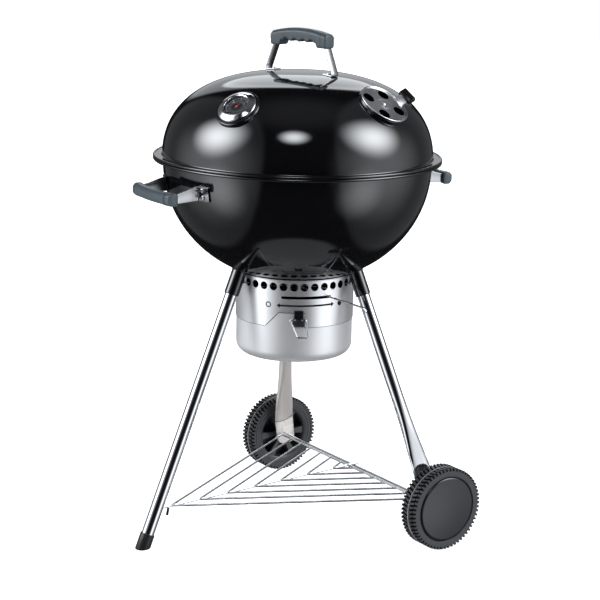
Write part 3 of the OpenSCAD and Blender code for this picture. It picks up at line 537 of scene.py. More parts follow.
def side_strap_shape():
    """One strip: foot on the bowl, tapering arm, bar through the grip, and back."""
    a_bend, a_tip = FOOT_ANGLE - 2.9, FOOT_ANGLE + 3.2
    r = foot_r + 1.9
    foot = [Vector((r * cos(a), r * sin(a))) for a in (a_tip, lerp(a_tip, a_bend, 0.5), a_bend)]
    knee = Vector((SIDE_END - SIDE_DEEP + 3, SIDE_L - 9))
    half = soften([*foot, knee, (SIDE_END - 10.5, SIDE_L - 16)], 4, steps=4)
    half = refine(half, 9)
    bar_part = [Vector((side_face(y) - 10.5, y)) for y in range(56, -57, -8)]
    path = half + bar_part + [Vector((p.x, -p.y)) for p in reversed(half)]
    bend_x, knee_x = foot[2].x, knee.x
    rings = []
    for i, p in enumerate(path):
        along = (path[min(i + 1, len(path) - 1)] - path[max(i - 1, 0)]).normalized()
        across = Vector((along.y, -along.x))
        t = smooth((p.x - bend_x - 2) / (knee_x - bend_x))
        on_foot = 1 - smooth((p.x - bend_x - 1) / 8)
        half_h, mid = lerp(FOOT_HALF, 9, t), lerp(FOOT_Z, HANDLE_Z, t)
        out = p.normalized() * foot_lean * on_foot
        ring = []
        for a, b in rounded_section(2 * half_h, 2.8, 0.8, 2):
            q = p + across * b + out * a
            ring.append((q.x, q.y, mid + a))
        rings.append(ring)
    return loft(rings)


def side_grip_shape():
    rings = []
    for k in range(-64, 65):
        y = SIDE_L * k / 64
        end = max(0, (abs(y) - SIDE_L + 3.5) / 3.5)
        pull = 2.6 * (1 - math.sqrt(max(0, 1 - end * end)))
        seam = 1.5 if abs(abs(y) - 61.5) <= 0.7 else 0
        mid = side_face(y) - SIDE_DEEP / 2
        fat = smooth((abs(y) - 40) / 22)
        deep = lerp(SIDE_DEEP / 2 - 1.2, SIDE_DEEP / 2, fat) - pull - seam
        high = lerp(SIDE_H - 0.8, SIDE_H, fat) - pull - seam
        corners = [(-deep + 2.5, -high), (deep - 6, -high), (deep, -high + 6), (deep, high - 6), (deep - 6, high),
                   (-deep + 2.5, high), (-deep, high - 3), (-deep, -high + 3)]
        rings.append([(mid + a, y, HANDLE_Z + b) for a, b in soften(corners, 2.2, True, 2)])
    return loft(rings)


side_strap, side_grip = side_strap_shape(), side_grip_shape()
bolt = dome_screw(5, 2.8, 3, 12)
for name, extra in (("left", 0), ("right", 180)):
    at = turn("Z", HANDLE_AZ + extra)
    piece(name + "_handle_arms", side_strap, strap_steel, "stand", at, [name + "_handle_strap"])
    piece(name + "_grip_body", side_grip, grip_plastic, "stand", at, [name + "_grip"], 40)
lean = math.degrees(math.atan(foot_lean))
bolt_places = [turn("Z", HANDLE_AZ + s + e * FOOT_ANGLE) @ shift(bowl_radius(z) + 3.4, 0, z) @ turn("Y", 90 + lean)
               for s in (0, 180) for e in (-1, 1) for z in (FOOT_Z - 7, FOOT_Z + 7)]
piece("side_bolts", placed(bolt, *bolt_places), steel, "stand", replaces=["side_handle_bolts"])

# ---------------------------------------------------------------- lid damper
DISC_R, DISC_Z = 51, 1.3
disc = [(0, DISC_Z + 1.5), (10, DISC_Z + 1.5)] \
    + soften([(12, DISC_Z + 1.5), (14, DISC_Z + 0.9), (20, DISC_Z + 0.9)], 1.2) \
    + soften([(40, DISC_Z + 0.9), (DISC_R - 5, DISC_Z + 1.0), (DISC_R - 3.4, DISC_Z + 2.6)], 1.0) \
    + arc(DISC_R - 1.6, DISC_Z + 2.2, 1.6, 120, -90, 10) + [(DISC_R - 5, DISC_Z), (0, DISC_Z)]
TAB_ROOT, TAB_SLOPE = 42, 35
tab_place = turn("Z", 90) @ shift(TAB_ROOT, 0, DISC_Z) @ turn("Y", -TAB_SLOPE)
tab = placed(join(block((27, 21, 1.4), (13, 0, 0.7), 0.5, 2), block((5, 24, 1.4), (1, 0, 0.6), 0.6, 2)), tab_place)
piece("damper_plate", carve(lathe(disc, 96), *damper_holes), steel, "lid_damper", DAMPER,
      ["damper_disc"])
# Painted highlight: the tab is brighter than the plate it is bent from
piece("damper_tab", tab, tab_highlight_steel, "lid_damper", DAMPER)
knob = placed(join(block((17.6, 32, 10.5), (25, 0, 0.6), 2.6), block((12.5, 26, 1.4), (25, 0, 6.2), 0.6, 2)), tab_place)
piece("damper_pull", knob, black_gloss, "lid_damper", DAMPER, ["damper_knob"])
rivet = lathe([(0, 5.4)] + arc(0, 0.6, 4.8, 85, 25, 6)[1:] + [(5.5, 2.4), (5.5, 1.6), (3, 1.6), (3, -3), (6, -3),
                                                            (6, -4), (0, -4)], 40)
piece("damper_rivet_head", rivet, chrome, "lid", DAMPER, ["damper_rivet"])

# ---------------------------------------------------------------- thermometer
piece("thermometer_ring", lathe([(0, 1.05), (42, 1.05)] + arc(41.2, 2.3, 1.3, -90, 90, 8)
                                + [(38.9, 3.55), (0, 3.55)], 96), black_gloss, "lid", THERMO,
      ["thermometer_housing"])
bezel = soften([(24.8, 3.7), (38.3, 3.7), (38.3, 4.8), (36.6, 6.4), (29.5, 10.2), (26.4, 10.9), (24.2, 9.9),
                (24.8, 8.2)], 0.9, True)
piece("thermometer_cone", lathe(bezel, 128, True), chrome, "lid", THERMO, ["thermometer_bezel"])
piece("dial_face", lathe([(0, 3.65), (24.6, 3.65), (24.6, 4.7), (0, 4.7)], 72), dial_black, "lid", THERMO,
      ["thermometer_dial"])
piece("dial_ring", lathe([(11.5, 4.7), (17.5, 4.7), (17.5, 4.85), (11.5, 4.85)], 72, True), dial_grey, "lid", THERMO)
piece("dial_pin", lathe([(0, 7.2), (1.2, 7.0), (1.6, 6.4), (0.8, 6.2), (0.8, 4.6), (0, 4.6)], 24), chrome, "lid",
      THERMO)


def tick(a, r0, r1, w):
    return placed(block((r1 - r0, w, 0.24), ((r0 + r1) / 2, 0, 4.86), 0.05, 1), turn("Z", a))


DIAL_START, DIAL_END = 45, 315
ticks = [lerp(DIAL_START, DIAL_END, k / 30) for k in range(31)]
long_ticks = [tick(a, 18.6, 22.6, 0.9) for k, a in enumerate(ticks) if k % 5 == 0]
short_ticks = [tick(a, 20.4, 22.6, 0.45) for k, a in enumerate(ticks) if k % 5]
piece("dial_ticks", join(*long_ticks, *short_ticks), mark_white, "lid", THERMO)


def dial_band(a0, a1, r0, r1):
    return wall_strip([(lerp(a0, a1, k / 10), 4.7, 4.9) for k in range(11)], r0, r1)


piece("dial_band_green", dial_band(118, 132, 14.2, 16.4), mark_green, "lid", THERMO)
piece("dial_band_pink", dial_band(222, 236, 14.2, 16.4), mark_pink, "lid", THERMO)
NEEDLE_AT = 149
needle_outline = [(-5, -0.9), (-5, 0.9), (0, 0.9), (11.5, 0.4), (11.5, -0.4), (0, -0.9)]
needle = join(placed(loft([[(x, y, 5.5) for x, y in needle_outline], [(x, y, 6.1) for x, y in needle_outline]]),
                     turn("Z", NEEDLE_AT)),
              lathe([(0.85, 5.3), (2.4, 5.3), (2.4, 6.3), (2.0, 6.6), (0.85, 6.6)], 28, True))
piece("dial_needle", needle, needle_red, "thermometer_needle", THERMO, ["thermometer_needle"])
piece("dial_lens", lathe([(0, 8.1), (24.4, 8.1), (24.4, 8.7), (16, 9.2), (0, 9.5)], 72), lens_glass, "lid", THERMO,
      ["thermometer_lens"])

# ---------------------------------------------------------------- stand: sockets, legs, cap, axle
LEG_RADIUS, SOCKET_R = 12.7, 15
LEG_TOP, SOCKET_LOW = 530, 494


def leg_ring(z, r, sides=40):
    """Ring round a leg's centre line at height z, square to the leg."""
    centre = Vector((0, leg_r(z), z))
    side = Vector((1, 0, 0))
    up = ALONG_LEG.cross(side)
    return [centre + r * (cos(360 * k / sides) * side + sin(360 * k / sides) * up) for k in range(sides)]


def to_bowl(p):
    """Slides a point up its leg until it meets the bowl."""
    low, high = 0.0, 90.0
    for _ in range(30):
        s = (low + high) / 2
        q = p + ALONG_LEG * s
        r = math.hypot(q.x, q.y)
        inside = r < BOWL["r"] and q.z > shell_height(BOWL, r) + 0.2
        low, high = (low, s) if inside else (s, high)
    return p + ALONG_LEG * low


def socket_shape():
    """Tube that meets the bowl in a small weld fillet, open below round the leg."""
    outer = [leg_ring(SOCKET_LOW + 0.8, SOCKET_R - 0.6), leg_ring(SOCKET_LOW, SOCKET_R - 1.2)]
    inner = [leg_ring(SOCKET_LOW, LEG_RADIUS + 0.3), leg_ring(SOCKET_LOW + 24, LEG_RADIUS + 0.3)]
    body = [leg_ring(SOCKET_LOW + 1.6, SOCKET_R), leg_ring(SOCKET_LOW + 14, SOCKET_R)]
    top = [[to_bowl(p) for p in leg_ring(SOCKET_LOW + 14, SOCKET_R + grow)] for grow in (0, 1.1, 2.2)]
    top = [[p - ALONG_LEG * d for p in ring] for ring, d in zip(top, (2.4, 0.9, 0))]
    return loft(inner[::-1] + outer[::-1] + body + top)


legs = [STAND @ turn("Z", 120 * i) for i in range(3)]
piece("sockets", placed(socket_shape(), *legs), enamel, "stand", replaces=["leg_sockets"])


def leg_tube(z0, z1):
    return loft([leg_ring(z, LEG_RADIUS) for z in (z0, z1)])


piece("front_leg_tube", leg_tube(10, LEG_TOP), chrome, "stand", STAND, ["front_leg"])

PLATE_X, PLATE_T, PLATE_W, FLARE_STEPS = 258, 5, 46, 18
FLARE_Z, FOLD_Z, PLATE_LOW = 330, 124, 68
FOLD_Y, LOW_Y = -153.7, -161


def rounded(offset, half_x, half_y, power):
    """The point of a superellipse in the same direction as offset."""
    u, v = offset.normalized().x, offset.normalized().y
    return Vector((u, v, 0)) / ((abs(u) / half_x) ** power + (abs(v) / half_y) ** power) ** (1 / power)


def wheel_leg_rings():
    """Tube that spreads and flattens towards the fold, then an upright plate with a rounded end."""
    turned = turn("Z", -120)
    rings = [[turned @ p for p in leg_ring(z, LEG_RADIUS, 48)] for z in (LEG_TOP, 430, FLARE_Z)]
    start = turned @ Vector((0, leg_r(FLARE_Z), FLARE_Z))
    fold = Vector((PLATE_X, FOLD_Y, FOLD_Z))
    offsets = [p - start for p in rings[-1]]
    for k in range(1, FLARE_STEPS + 1):
        t = k / FLARE_STEPS
        centre = start.lerp(fold, t)
        spread = lerp(0.12 * t, 1, smooth((t - 0.25) / 0.75) ** 1.3)
        half_x, half_y = lerp(LEG_RADIUS, PLATE_T / 2 + 1.6, spread ** 0.8), lerp(LEG_RADIUS, PLATE_W / 2, spread)
        rings.append([centre + o.lerp(rounded(o, half_x, half_y, 2 + 2 * t), min(1, 3 * t)) for o in offsets])
    # The fold runs across the plate, higher on its outer side
    rings[-1] = [p + Vector((0, 0, (FOLD_Y - p.y) * 0.22 - 2 * math.cos((p.y - FOLD_Y) / 8))) for p in rings[-1]]
    low = Vector((PLATE_X, LOW_Y, PLATE_LOW))
    for t, shrink in ((0.05, 1), (0.12, 1), (0.4, 1), (0.75, 0.99), (0.88, 0.93), (0.96, 0.80), (1.0, 0.62)):
        centre = fold.lerp(low, t)
        tilt = -0.22 * max(0, 1 - t * 3)
        ring = []
        for o in offsets:
            q = rounded(o, PLATE_T / 2, PLATE_W / 2, 6)
            ring.append(centre + Vector((q.x, q.y * shrink, q.y * tilt)))
        rings.append(ring)
    return rings


rear_rings = wheel_leg_rings()
split = 3 + FLARE_STEPS
rear_tube = loft(rear_rings[:split])
rear_plate = loft(rear_rings[split - 1:])
# Painted shade: a thin black band along the fold where the tube meets the plate
fold_shade = loft([[p + Vector((0, 0, dz)) for p in rear_rings[split - 1]] for dz in (0.9, -1.3)])
mirror = Matrix.Scale(-1, 4, (1, 0, 0))
piece("rear_leg_tube", rear_tube, satin_leg, "stand", STAND, ["rear_leg"])
piece("rear_leg_plate", rear_plate, pinched, "stand", STAND)
piece("rear_leg_fold_shade", fold_shade, shade_black, "stand", STAND)
piece("right_leg_tube", rear_tube, chrome, "stand", STAND @ mirror, ["right_leg"])
piece("right_leg_plate", rear_plate, pinched, "stand", STAND @ mirror)


def foot_cap_shape():
    """Plastic cap over the leg's end, cut flat where it stands on the floor."""
    r = LEG_RADIUS + 1.9

    def floor_ring(height, radius):
        return [p + ALONG_LEG * ((height - p.z) / ALONG_LEG.z) for p in leg_ring(0, radius)]

    rings = [floor_ring(0, r - 1.6), floor_ring(0.7, r - 0.5), floor_ring(2, r), leg_ring(27, r),
             leg_ring(28.4, r - 0.5), leg_ring(29, r - 1.4), leg_ring(29, LEG_RADIUS - 0.2)]
    return loft(rings)


piece("front_foot", foot_cap_shape(), black_satin, "stand", STAND, ["foot_cap"])
axle_end = WHEEL_X + 16
piece("axle_bar", bar((-axle_end, -AXLE_Y, AXLE_Z), (axle_end, -AXLE_Y, AXLE_Z), 4.5, 32), chrome, "stand", STAND,
      ["axle"])

# ---------------------------------------------------------------- bottom rack
rack_place = STAND @ shift(0, -AXLE_Y, 90.8) @ turn("X", -1.67) @ shift(0, AXLE_Y, 0)
BAR_Y, FIRST_Y, PITCH, WIRE_R, STUB = -145, 288, 65.5, 2.5, 4.6
rack = [bar((0, -AXLE_Y - 9, 0), (0, 312, 0), WIRE_R), bar((-250, BAR_Y, 0), (250, BAR_Y, 0), WIRE_R)]
for i in range(7):
    y = FIRST_Y - PITCH * i
    for side in (-1, 1):
        end = (side * ((y - BAR_Y) / math.tan(math.radians(60)) + STUB / 2), BAR_Y - STUB * sin(60), 0)
        rack.append(bar((0, y, 0), end, WIRE_R - 0.3))
piece("rack_wires", join(*rack), wire, "stand", rack_place, ["bottom_rack"])

# ---------------------------------------------------------------- ash ring and bucket
RING_R, RING_LOW, RING_HIGH = 119.3, 437.2, 531.4
HOLE_Z, HOLE_R, SLOT_Z, SLOT_HALF = 518, 7.8, 497, 2.8
NOTCH_TOP, BUCKET_LINE = 467, 472
# Azimuths of the lever's slot, of the notch (it rises up to NOTCH_TURN and is level after it) and of the arrow
SLOT_START, SLOT_END = 252.9, 303
NOTCH_START, NOTCH_TURN, NOTCH_END = 237, 250.6, 276.5
ARROW_START, ARROW_END, ARROW_HEAD = 248.6, 306.5, 3.4
ring_wall = refine([(RING_R, RING_LOW), (RING_R, RING_HIGH - 1.2)], 4)
ring_inner = refine([(RING_R - 1, RING_HIGH - 1.2), (RING_R - 1, RING_LOW)], 4)
ring_outline = ring_wall + [Vector(p) for p in arc(RING_R - 0.5, RING_HIGH - 0.2, 1.3, -40, 220, 8)] + ring_inner
hole_cutters = [placed(bar((RING_R - 8, 0, HOLE_Z), (RING_R + 8, 0, HOLE_Z), HOLE_R, 40), turn("Z", 5 + 10 * i))
                for i in range(36)]


def slot_stations(a0, a1, z, half, r, n=40):
    """Stations of a slot with round ends."""
    out = []
    for k in range(n + 1):
        a = lerp(a0, a1, (1 - cos(180 * k / n)) / 2)
        d = min(a - a0, a1 - a) * math.radians(1) * r
        h = half if d >= half else max(0.05, math.sqrt(half * half - (half - d) ** 2))
        out.append((a, z - h, z + h))
    return out


slot_cutter = wall_strip(slot_stations(SLOT_START, SLOT_END, SLOT_Z, SLOT_HALF, RING_R), RING_R - 6, RING_R + 6)
notch = [(lerp(NOTCH_START, NOTCH_TURN, k / 8), RING_LOW - 6, lerp(RING_LOW, NOTCH_TOP, k / 8) + 0.01)
         for k in range(1, 9)]
notch += [(lerp(NOTCH_TURN, NOTCH_END, k / 12), RING_LOW - 6, NOTCH_TOP) for k in range(1, 13)]
notch_cutter = wall_strip([(NOTCH_START, RING_LOW - 6, RING_LOW + 0.02)] + notch, RING_R - 6, RING_R + 6)
piece("ash_ring_wall", carve(lathe(ring_outline, 288, True), *hole_cutters, slot_cutter, notch_cutter), brushed,
      "stand", replaces=["ash_ring"])

# Painted shade: a dark line where the ring's lower edge and its notch meet the bucket
edge = [(a, RING_LOW - 0.9, RING_LOW + 0.4) for a in [NOTCH_END + 2 * k for k in range(161)]]
edge += [(a, high - 1.3, high + 0.4) for a, low, high in notch]
piece("ring_edge_shadow", wall_strip(edge, RING_R - 1.2, RING_R - 0.5), shade_black, "stand")

# Open, closed and turning marks: plain symbols printed on the ring
MARK_IN, MARK_OUT = RING_R - 0.2, RING_R + 0.12
ARROW_Z = 481


def arrow_half(a):
    """Half height of the double arrow at an azimuth: a thin line with a head at each end."""
    tip = min(a - ARROW_START, ARROW_END - a)
    return max(0.05, 5.0 * tip / ARROW_HEAD) if tip < ARROW_HEAD else 1.8


arrow_azs = sorted({ARROW_START, 252.0, 252.01, 303.09, 303.1, ARROW_END}
                   | {lerp(ARROW_START, ARROW_END, k / 60) for k in range(61)})
arrow = wall_strip([(a, ARROW_Z - arrow_half(a), ARROW_Z + arrow_half(a)) for a in arrow_azs], MARK_IN, MARK_OUT)


def wall_disc(az, z, r_out, r_in):
    """A flat disc or ring bent onto the ring's wall."""
    rings = []
    for k in range(36):
        c, s = cos(10 * k), sin(10 * k)
        ring = []
        for r, depth in ((r_in, MARK_IN), (r_out, MARK_IN), (r_out, MARK_OUT), (r_in, MARK_OUT)):
            a = az + math.degrees(r * c / RING_R)
            ring.append((depth * cos(a), depth * sin(a), z + r * s))
        rings.append(ring)
    return loft(rings, True)


piece("ring_marks", join(arrow, wall_disc(240.2, 481, 5.8, 3.6), wall_disc(314.2, 480.5, 5.6, 0.05)), print_black,
      "stand")

# Painted shade: a black sleeve on the ring's inside, so that its holes look dark
ring_shade_outline = refine([(RING_R - 1.1, BUCKET_LINE), (RING_R - 1.1, RING_HIGH - 3)], 4) \
    + refine([(RING_R - 1.25, RING_HIGH - 3), (RING_R - 1.25, BUCKET_LINE)], 4)
piece("ring_inside_shade", carve(lathe(ring_shade_outline, 144, True), *hole_cutters, slot_cutter), shade_black, "stand")

BUCKET_R, BUCKET_Z, BUCKET_TOP, CORNER = 117.9, 362, 470, 22
bucket = [(0, BUCKET_Z + 1.6), (70, BUCKET_Z + 1.6), (74, BUCKET_Z)] \
    + arc(BUCKET_R - CORNER, BUCKET_Z + CORNER, CORNER, -90, 0, 14) \
    + [tuple(p) for p in refine([(BUCKET_R, BUCKET_Z + CORNER), (BUCKET_R, BUCKET_TOP)], 8)[1:]] \
    + [(BUCKET_R - 0.9, BUCKET_TOP)] \
    + arc(BUCKET_R - CORNER, BUCKET_Z + CORNER, CORNER - 0.9, 0, -90, 14) + [(74, BUCKET_Z + 0.9), (70, BUCKET_Z + 2.5),
                                                                          (0, BUCKET_Z + 2.5)]
piece("ash_bucket_shell", lathe(bucket, 192), bucket_steel, "ash_bucket", replaces=["ash_bucket"])
# Painted shade: a black sleeve on the bucket's inside
bucket_shade_outline = refine([(BUCKET_R - 1.1, BUCKET_Z + CORNER), (BUCKET_R - 1.1, BUCKET_TOP - 1)], 8) \
    + refine([(BUCKET_R - 1.3, BUCKET_TOP - 1), (BUCKET_R - 1.3, BUCKET_Z + CORNER)], 8)
piece("bucket_inside_shade", lathe(bucket_shade_outline, 144, True), shade_black, "ash_bucket")

# ---------------------------------------------------------------- wires and latch
BAIL_Z, BAIL_R = 454, RING_R + 6
bail = tube(soften([(BAIL_R, -6, BAIL_Z), (BAIL_R, -18, BAIL_Z), (BAIL_R + 7, -3, BAIL_Z - 34),
                    (BAIL_R + 7, 18, BAIL_Z - 34), (BAIL_R, 15, BAIL_Z), (BAIL_R, 6, BAIL_Z)], 4, steps=6), 1.5)
piece("bail_wire", bail, chrome, "latch_bail", turn("Z", LATCH_AZ), ["latch_bail"])
LEVER_AZ = 300.5
lever = tube(soften([(8, 0, SLOT_Z), (237, 0, SLOT_Z), (241, 0, SLOT_Z - 6)], 4, steps=6), 2)
piece("lever_wire", lever, chrome, "vent_sweep", turn("Z", LEVER_AZ), ["vent_lever"])
hook_y = RING_R * sin(5)
hook = tube(soften([(RING_R - 4, -hook_y - 6, 516), (RING_R - 4, -hook_y, 516), (RING_R + 3.5, -hook_y, 516),
                    (RING_R + 3.5, hook_y, 516), (RING_R - 4, hook_y, 516), (RING_R - 4, hook_y + 6, 516)], 2.5), 1.1)
piece("hook_wires", placed(hook, *[leg @ turn("Z", 90) for leg in legs]), chrome, "stand",
      replaces=["ring_hooks"])

# ---------------------------------------------------------------- wheels
LUGS, LUG_H, FACE_U = 60, 5.2, WHEEL_HALF - 2.4
BASE_R = WHEEL_R - LUG_H
# (radius, how much is trimmed off each side) up a tread block
LUG_SIDES = (BASE_R - 1, -0.12), (WHEEL_R - 0.9, 0)
LUG_TOP = (WHEEL_R - 1.0, 0.02), (WHEEL_R - 0.6, -0.02), (WHEEL_R - 0.15, 0.07), (WHEEL_R, 0.22)


def lug(levels, u0, u1, a0, a1, width):
    """One tread block from u0 to u1 across the tyre, slanting from angle a0 to a1, through the radii in levels."""
    rings = []
    for r, trim in levels:
        w = width / 2 - trim
        cut = max(0, trim) * 2
        lo, hi = (u0 + cut, u1 - cut) if u0 < u1 else (u0 - cut, u1 + cut)
        rings.append([(r * cos(a0 - w), r * sin(a0 - w), lo), (r * cos(a0 + w), r * sin(a0 + w), lo),
                      (r * cos(a1 + w), r * sin(a1 + w), hi), (r * cos(a1 - w), r * sin(a1 - w), hi)])
    return loft(rings)


def tread_lugs(levels):
    """Shoulder teeth and slanted blocks on both halves of the tread."""
    pitch = 360 / LUGS
    turns = [turn("Z", pitch * i) for i in range(LUGS)]
    half_turns = [turn("Z", pitch * (i + 0.5)) for i in range(LUGS)]
    return join(placed(join(lug(levels, 16.6, FACE_U, 0, 0, 3.1), lug(levels, 2.2, 14.6, 3.4, 1.0, 3.0)), *turns),
                placed(join(lug(levels, -16.6, -FACE_U, 0, 0, 3.1), lug(levels, -2.2, -14.6, 3.4, 1.0, 3.0)),
                       *half_turns))


def tooth_faces():
    """Outer faces of the shoulder teeth, level with the side walls."""
    levels, pitch = ((BASE_R - 1, 0), (WHEEL_R - 0.5, 0)), 360 / LUGS
    return join(*[placed(lug(levels, side * (FACE_U - 0.6), side * (FACE_U + 0.1), 0, 0, 3.2),
                         *[turn("Z", pitch * (i + 0.25 - 0.25 * side)) for i in range(LUGS)]) for side in (1, -1)])


def tyre_rings():
    """Tyre body: flat side walls with a moulded groove."""
    outline = [(66.4, 13), (66.4, FACE_U - 1.4), (67.4, FACE_U - 0.2)] \
        + soften([(68.2, FACE_U), (BASE_R - 0.2, FACE_U), (BASE_R, FACE_U - 1)], 0.5) \
        + [(BASE_R, -FACE_U + 1), (BASE_R - 1, -FACE_U), (74.6, -FACE_U), (74.2, -FACE_U + 1.3), (73.2, -FACE_U + 1.3),
           (72.8, -FACE_U + 0.1), (67.5, -FACE_U + 0.4), (67.1, -FACE_U + 1.6), (66.3, -FACE_U + 1.6),
           (65.9, -FACE_U + 0.8), (62.6, -FACE_U + 1.2), (62, -FACE_U + 3), (62, 13)]
    return lathe(outline, 120, True)


def spoke_shape():
    """Inner side of the wheel: web, hub and six wedge spokes."""
    web = lathe([(4.6, 8), (62.4, 8), (62.4, 13), (14, 13), (4.6, 13)], 96, True)
    hub = lathe(soften([(4.6, -31), (12.5, -31), (14, -29), (14, 12), (4.6, 12)], 0.8, True, 2), 48, True)
    rim = lathe(soften([(55, -17), (62.6, -19.5), (62.6, -10), (57, 7.9), (54, 7.9)], 1, True, 2), 96, True)
    wedge = [(12.5, -2.6), (57, -8.2), (57, 8.2), (12.5, 2.6)]
    spoke = loft([[(x, y, -15) for x, y in wedge], [(x, y, 8.2) for x, y in wedge]])
    return join(web, hub, rim, placed(spoke, *[turn("Z", 60 * i + 30) for i in range(6)]))


hubcap = [(0, 25.0)] + [(65.4 * t, 25.0 - 4.0 * t ** 2) for t in [k / 12 for k in range(1, 12)]] \
    + soften([(62.8, 21.4), (65.4, 19.6), (65.4, 13.2)], 1.6) + [(63, 13.2), (63, 18), (0, 18)]
tyre, spokes = tyre_rings(), spoke_shape()
# Painted shade: the lugs' sides are black so the gaps between them read dark; the lug tops and tooth faces keep the
# tyre's colour
lug_shade_bodies, lug_tops = tread_lugs(LUG_SIDES), join(tread_lugs(LUG_TOP), tooth_faces())
mould_line = lathe([(BASE_R - 1, -0.9), (BASE_R + 0.5, -0.9), (WHEEL_R - 0.2, -0.5), (WHEEL_R - 0.2, 0.5),
                    (BASE_R + 0.5, 0.9), (BASE_R - 1, 0.9)], 120, True)
# Painted shade: the tread floor between the lugs is black
floor_edge = FACE_U - 1.2
tread_floor_shade = lathe([(BASE_R - 1, -floor_edge), (WHEEL_R - 4, -floor_edge), (WHEEL_R - 4, -floor_edge + 1),
                     (BASE_R + 0.4, -floor_edge + 1), (BASE_R + 0.4, floor_edge - 1), (WHEEL_R - 4, floor_edge - 1),
                     (WHEEL_R - 4, floor_edge), (BASE_R - 1, floor_edge)], 120, True)
for name, side in (("right", -1), ("rear", 1)):
    at, body = wheel_place(side), name + "_wheel"
    piece(name + "_tyre", tyre, wheel_plastic, body, at, [name + "_wheel"], 28)
    # Lug sides in painted shade
    piece(name + "_lug_sides_shade", lug_shade_bodies, shade_black, body, at, sharp=25)
    piece(name + "_lug_tops", lug_tops, tyre_plastic, body, at, sharp=25)
    # Painted highlight along the tread's centre ridge
    piece(name + "_mould_line", mould_line, mould_line_highlight, body, at)
    piece(name + "_tread_floor_shade", tread_floor_shade, shade_black, body, at)
    piece(name + "_spokes", spokes, wheel_plastic, body, at)
    piece(name + "_hubcap_disc", lathe(hubcap, 128), hubcap_plastic, body, at, [name + "_hubcap"])

# ---------------------------------------------------------------- CAD nodes that stay, with better finishes
kept = {steel: ["axle_caps", "side_handle_nuts", "grate_brackets", "vent_blades", "vent_spindle", "vent_nut",
                "bucket_latch_plate", "lid_handle_nuts", "thermometer_probe", "probe_nut"],
        black_satin: ["rack_peg"], black_gloss: ["latch_catch"],
        grate_wire: ["cooking_grate", "left_flap", "right_flap"],
        bare_steel: ["charcoal_grate"]}
for finish, nodes in kept.items():
    for node in nodes:
        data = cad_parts[node].data
        data.materials.clear()
        data.materials.append(finish)

# ---------------------------------------------------------------- floor and light
HEADING = -4.44
floor_mesh = bpy.data.meshes.new("floor")
FLOOR_HALF = 12.0
floor_mesh.from_pydata([(-FLOOR_HALF, -FLOOR_HALF, 0), (FLOOR_HALF, -FLOOR_HALF, 0), (FLOOR_HALF, FLOOR_HALF, 0),
                        (-FLOOR_HALF, FLOOR_HALF, 0)], [], [(0, 1, 2, 3)])
floor = bpy.data.objects.new("floor", floor_mesh)
bpy.context.scene.collection.objects.link(floor)
pale = bpy.data.materials.new("pale_floor")
pale.use_nodes = True
pale_bsdf = pale.node_tree.nodes["Principled BSDF"]
pale_bsdf.inputs["Base Color"].default_value = (0.8, 0.8, 0.8, 1)
pale_bsdf.inputs["Roughness"].default_value = 0.9
pale_bsdf.inputs["Specular IOR Level"].default_value = 0
pale_bsdf.inputs["Emission Color"].default_value = (1, 1, 1, 1)
pale_bsdf.inputs["Emission Strength"].default_value = 0.9
floor_mesh.materials.append(pale)
floor.visible_glossy = False

world = bpy.data.worlds.new("studio")
bpy.context.scene.world = world
world.use_nodes = True
wn, wl = world.node_tree.nodes, world.node_tree.links


def maths(operation, a, b=0.0):
    node = wn.new("ShaderNodeMath")
    node.operation = operation
    for socket, value in zip(node.inputs, (a, b)):
        if isinstance(value, (int, float)):
            socket.default_value = value
        else:
            wl.new(value, socket)
    return node.outputs["Value"]


def soft_light(azimuth, elevation, inner, outer, strength):
    """A round soft patch of studio light: full inside one angle, gone outside the other.
    Azimuth 0 is the camera's side and 90 is to its right."""
    flat = cos(elevation)
    towards = turn("Z", HEADING) @ Vector((flat * sin(azimuth), -flat * cos(azimuth), sin(elevation)))
    dot = wn.new("ShaderNodeVectorMath")
    dot.operation = "DOT_PRODUCT"
    wl.new(direction.outputs["Generated"], dot.inputs[0])
    dot.inputs[1].default_value = towards
    fade = wn.new("ShaderNodeMapRange")
    fade.interpolation_type = "SMOOTHSTEP"
    for socket, value in zip(fade.inputs[1:5], (math.radians(outer), math.radians(inner), 0, strength)):
        socket.default_value = value
    wl.new(maths("ARCCOSINE", dot.outputs["Value"]), fade.inputs["Value"])
    return fade.outputs["Result"]


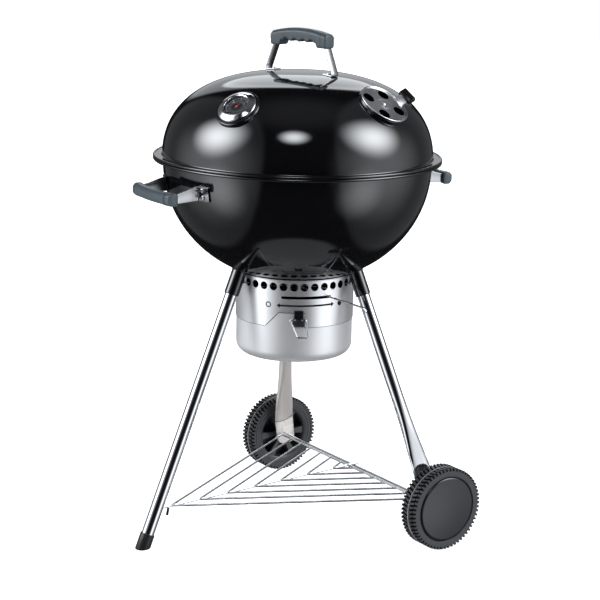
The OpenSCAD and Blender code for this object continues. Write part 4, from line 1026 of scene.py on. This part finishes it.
direction = wn.new("ShaderNodeTexCoord")
left_lights = (-80, 30, 1, 30, 10), (-78, 0, 5, 54, 1.0), (-92, 4, 60, 66, 0.13), (-68, -20, 1, 26, 1.2)
right_lights = (78, 34, 1, 30, 10), (76, 2, 5, 54, 1.0), (97, 6, 60, 66, 0.13), (58, -20, 1, 26, 1.2)
front_light = (-4, 48, 1, 14, 9)
# Behind the object, for the reflection on top of the lid: the last one takes light away
back_lights = (180, 21, 18, 22, 0.7), (180, 28, 13, 14.5, 1.7), (180, 26, 9, 13, -0.6)
above, below = (0, 90, 10, 40, 0.10), (0, -90, 19, 24, 0.3)
studio = 0.012
for light in (*left_lights, *right_lights, front_light, *back_lights, above, below):
    studio = maths("ADD", soft_light(*light), studio)
rays, white, lit, choose = (wn.new("ShaderNode" + kind)
                            for kind in ("LightPath", "Background", "Background", "MixShader"))
white.inputs["Color"].default_value = (1, 1, 1, 1)
lit.inputs["Color"].default_value = (0.93, 0.965, 1, 1)
MATTE_SHARE = 0.32
share = maths("SUBTRACT", 1, maths("MULTIPLY", rays.outputs["Is Diffuse Ray"], 1 - MATTE_SHARE))
wl.new(maths("MULTIPLY", studio, share), lit.inputs["Strength"])
wl.new(rays.outputs["Is Camera Ray"], choose.inputs["Fac"])
wl.new(lit.outputs["Background"], choose.inputs[1])
wl.new(white.outputs["Background"], choose.inputs[2])
wl.new(choose.outputs["Shader"], wn["World Output"].inputs["Surface"])
wn.remove(wn["Background"])
bpy.context.scene.view_settings.view_transform = "Standard"

# ---------------------------------------------------------------- camera
# Camera: 3.5 m in front, 1.28 m up, looking 13 degrees down
PITCH_DOWN, ROLL = 13.03, 1.264
CAMERA_FROM_AXIS = Vector((-0.2623, -3.5218, 1.2833))
SENSOR, FOCAL = 36, 107.05
camera = bpy.data.objects.new("camera", bpy.data.cameras.new("camera"))
bpy.context.scene.collection.objects.link(camera)
camera.data.sensor_width, camera.data.lens = SENSOR, FOCAL
camera.data.clip_end = 100
camera.location = AXIS + CAMERA_FROM_AXIS
camera.rotation_euler = (turn("Z", HEADING) @ turn("X", 90 - PITCH_DOWN) @ turn("Z", ROLL)).to_euler()
bpy.context.scene.camera = camera
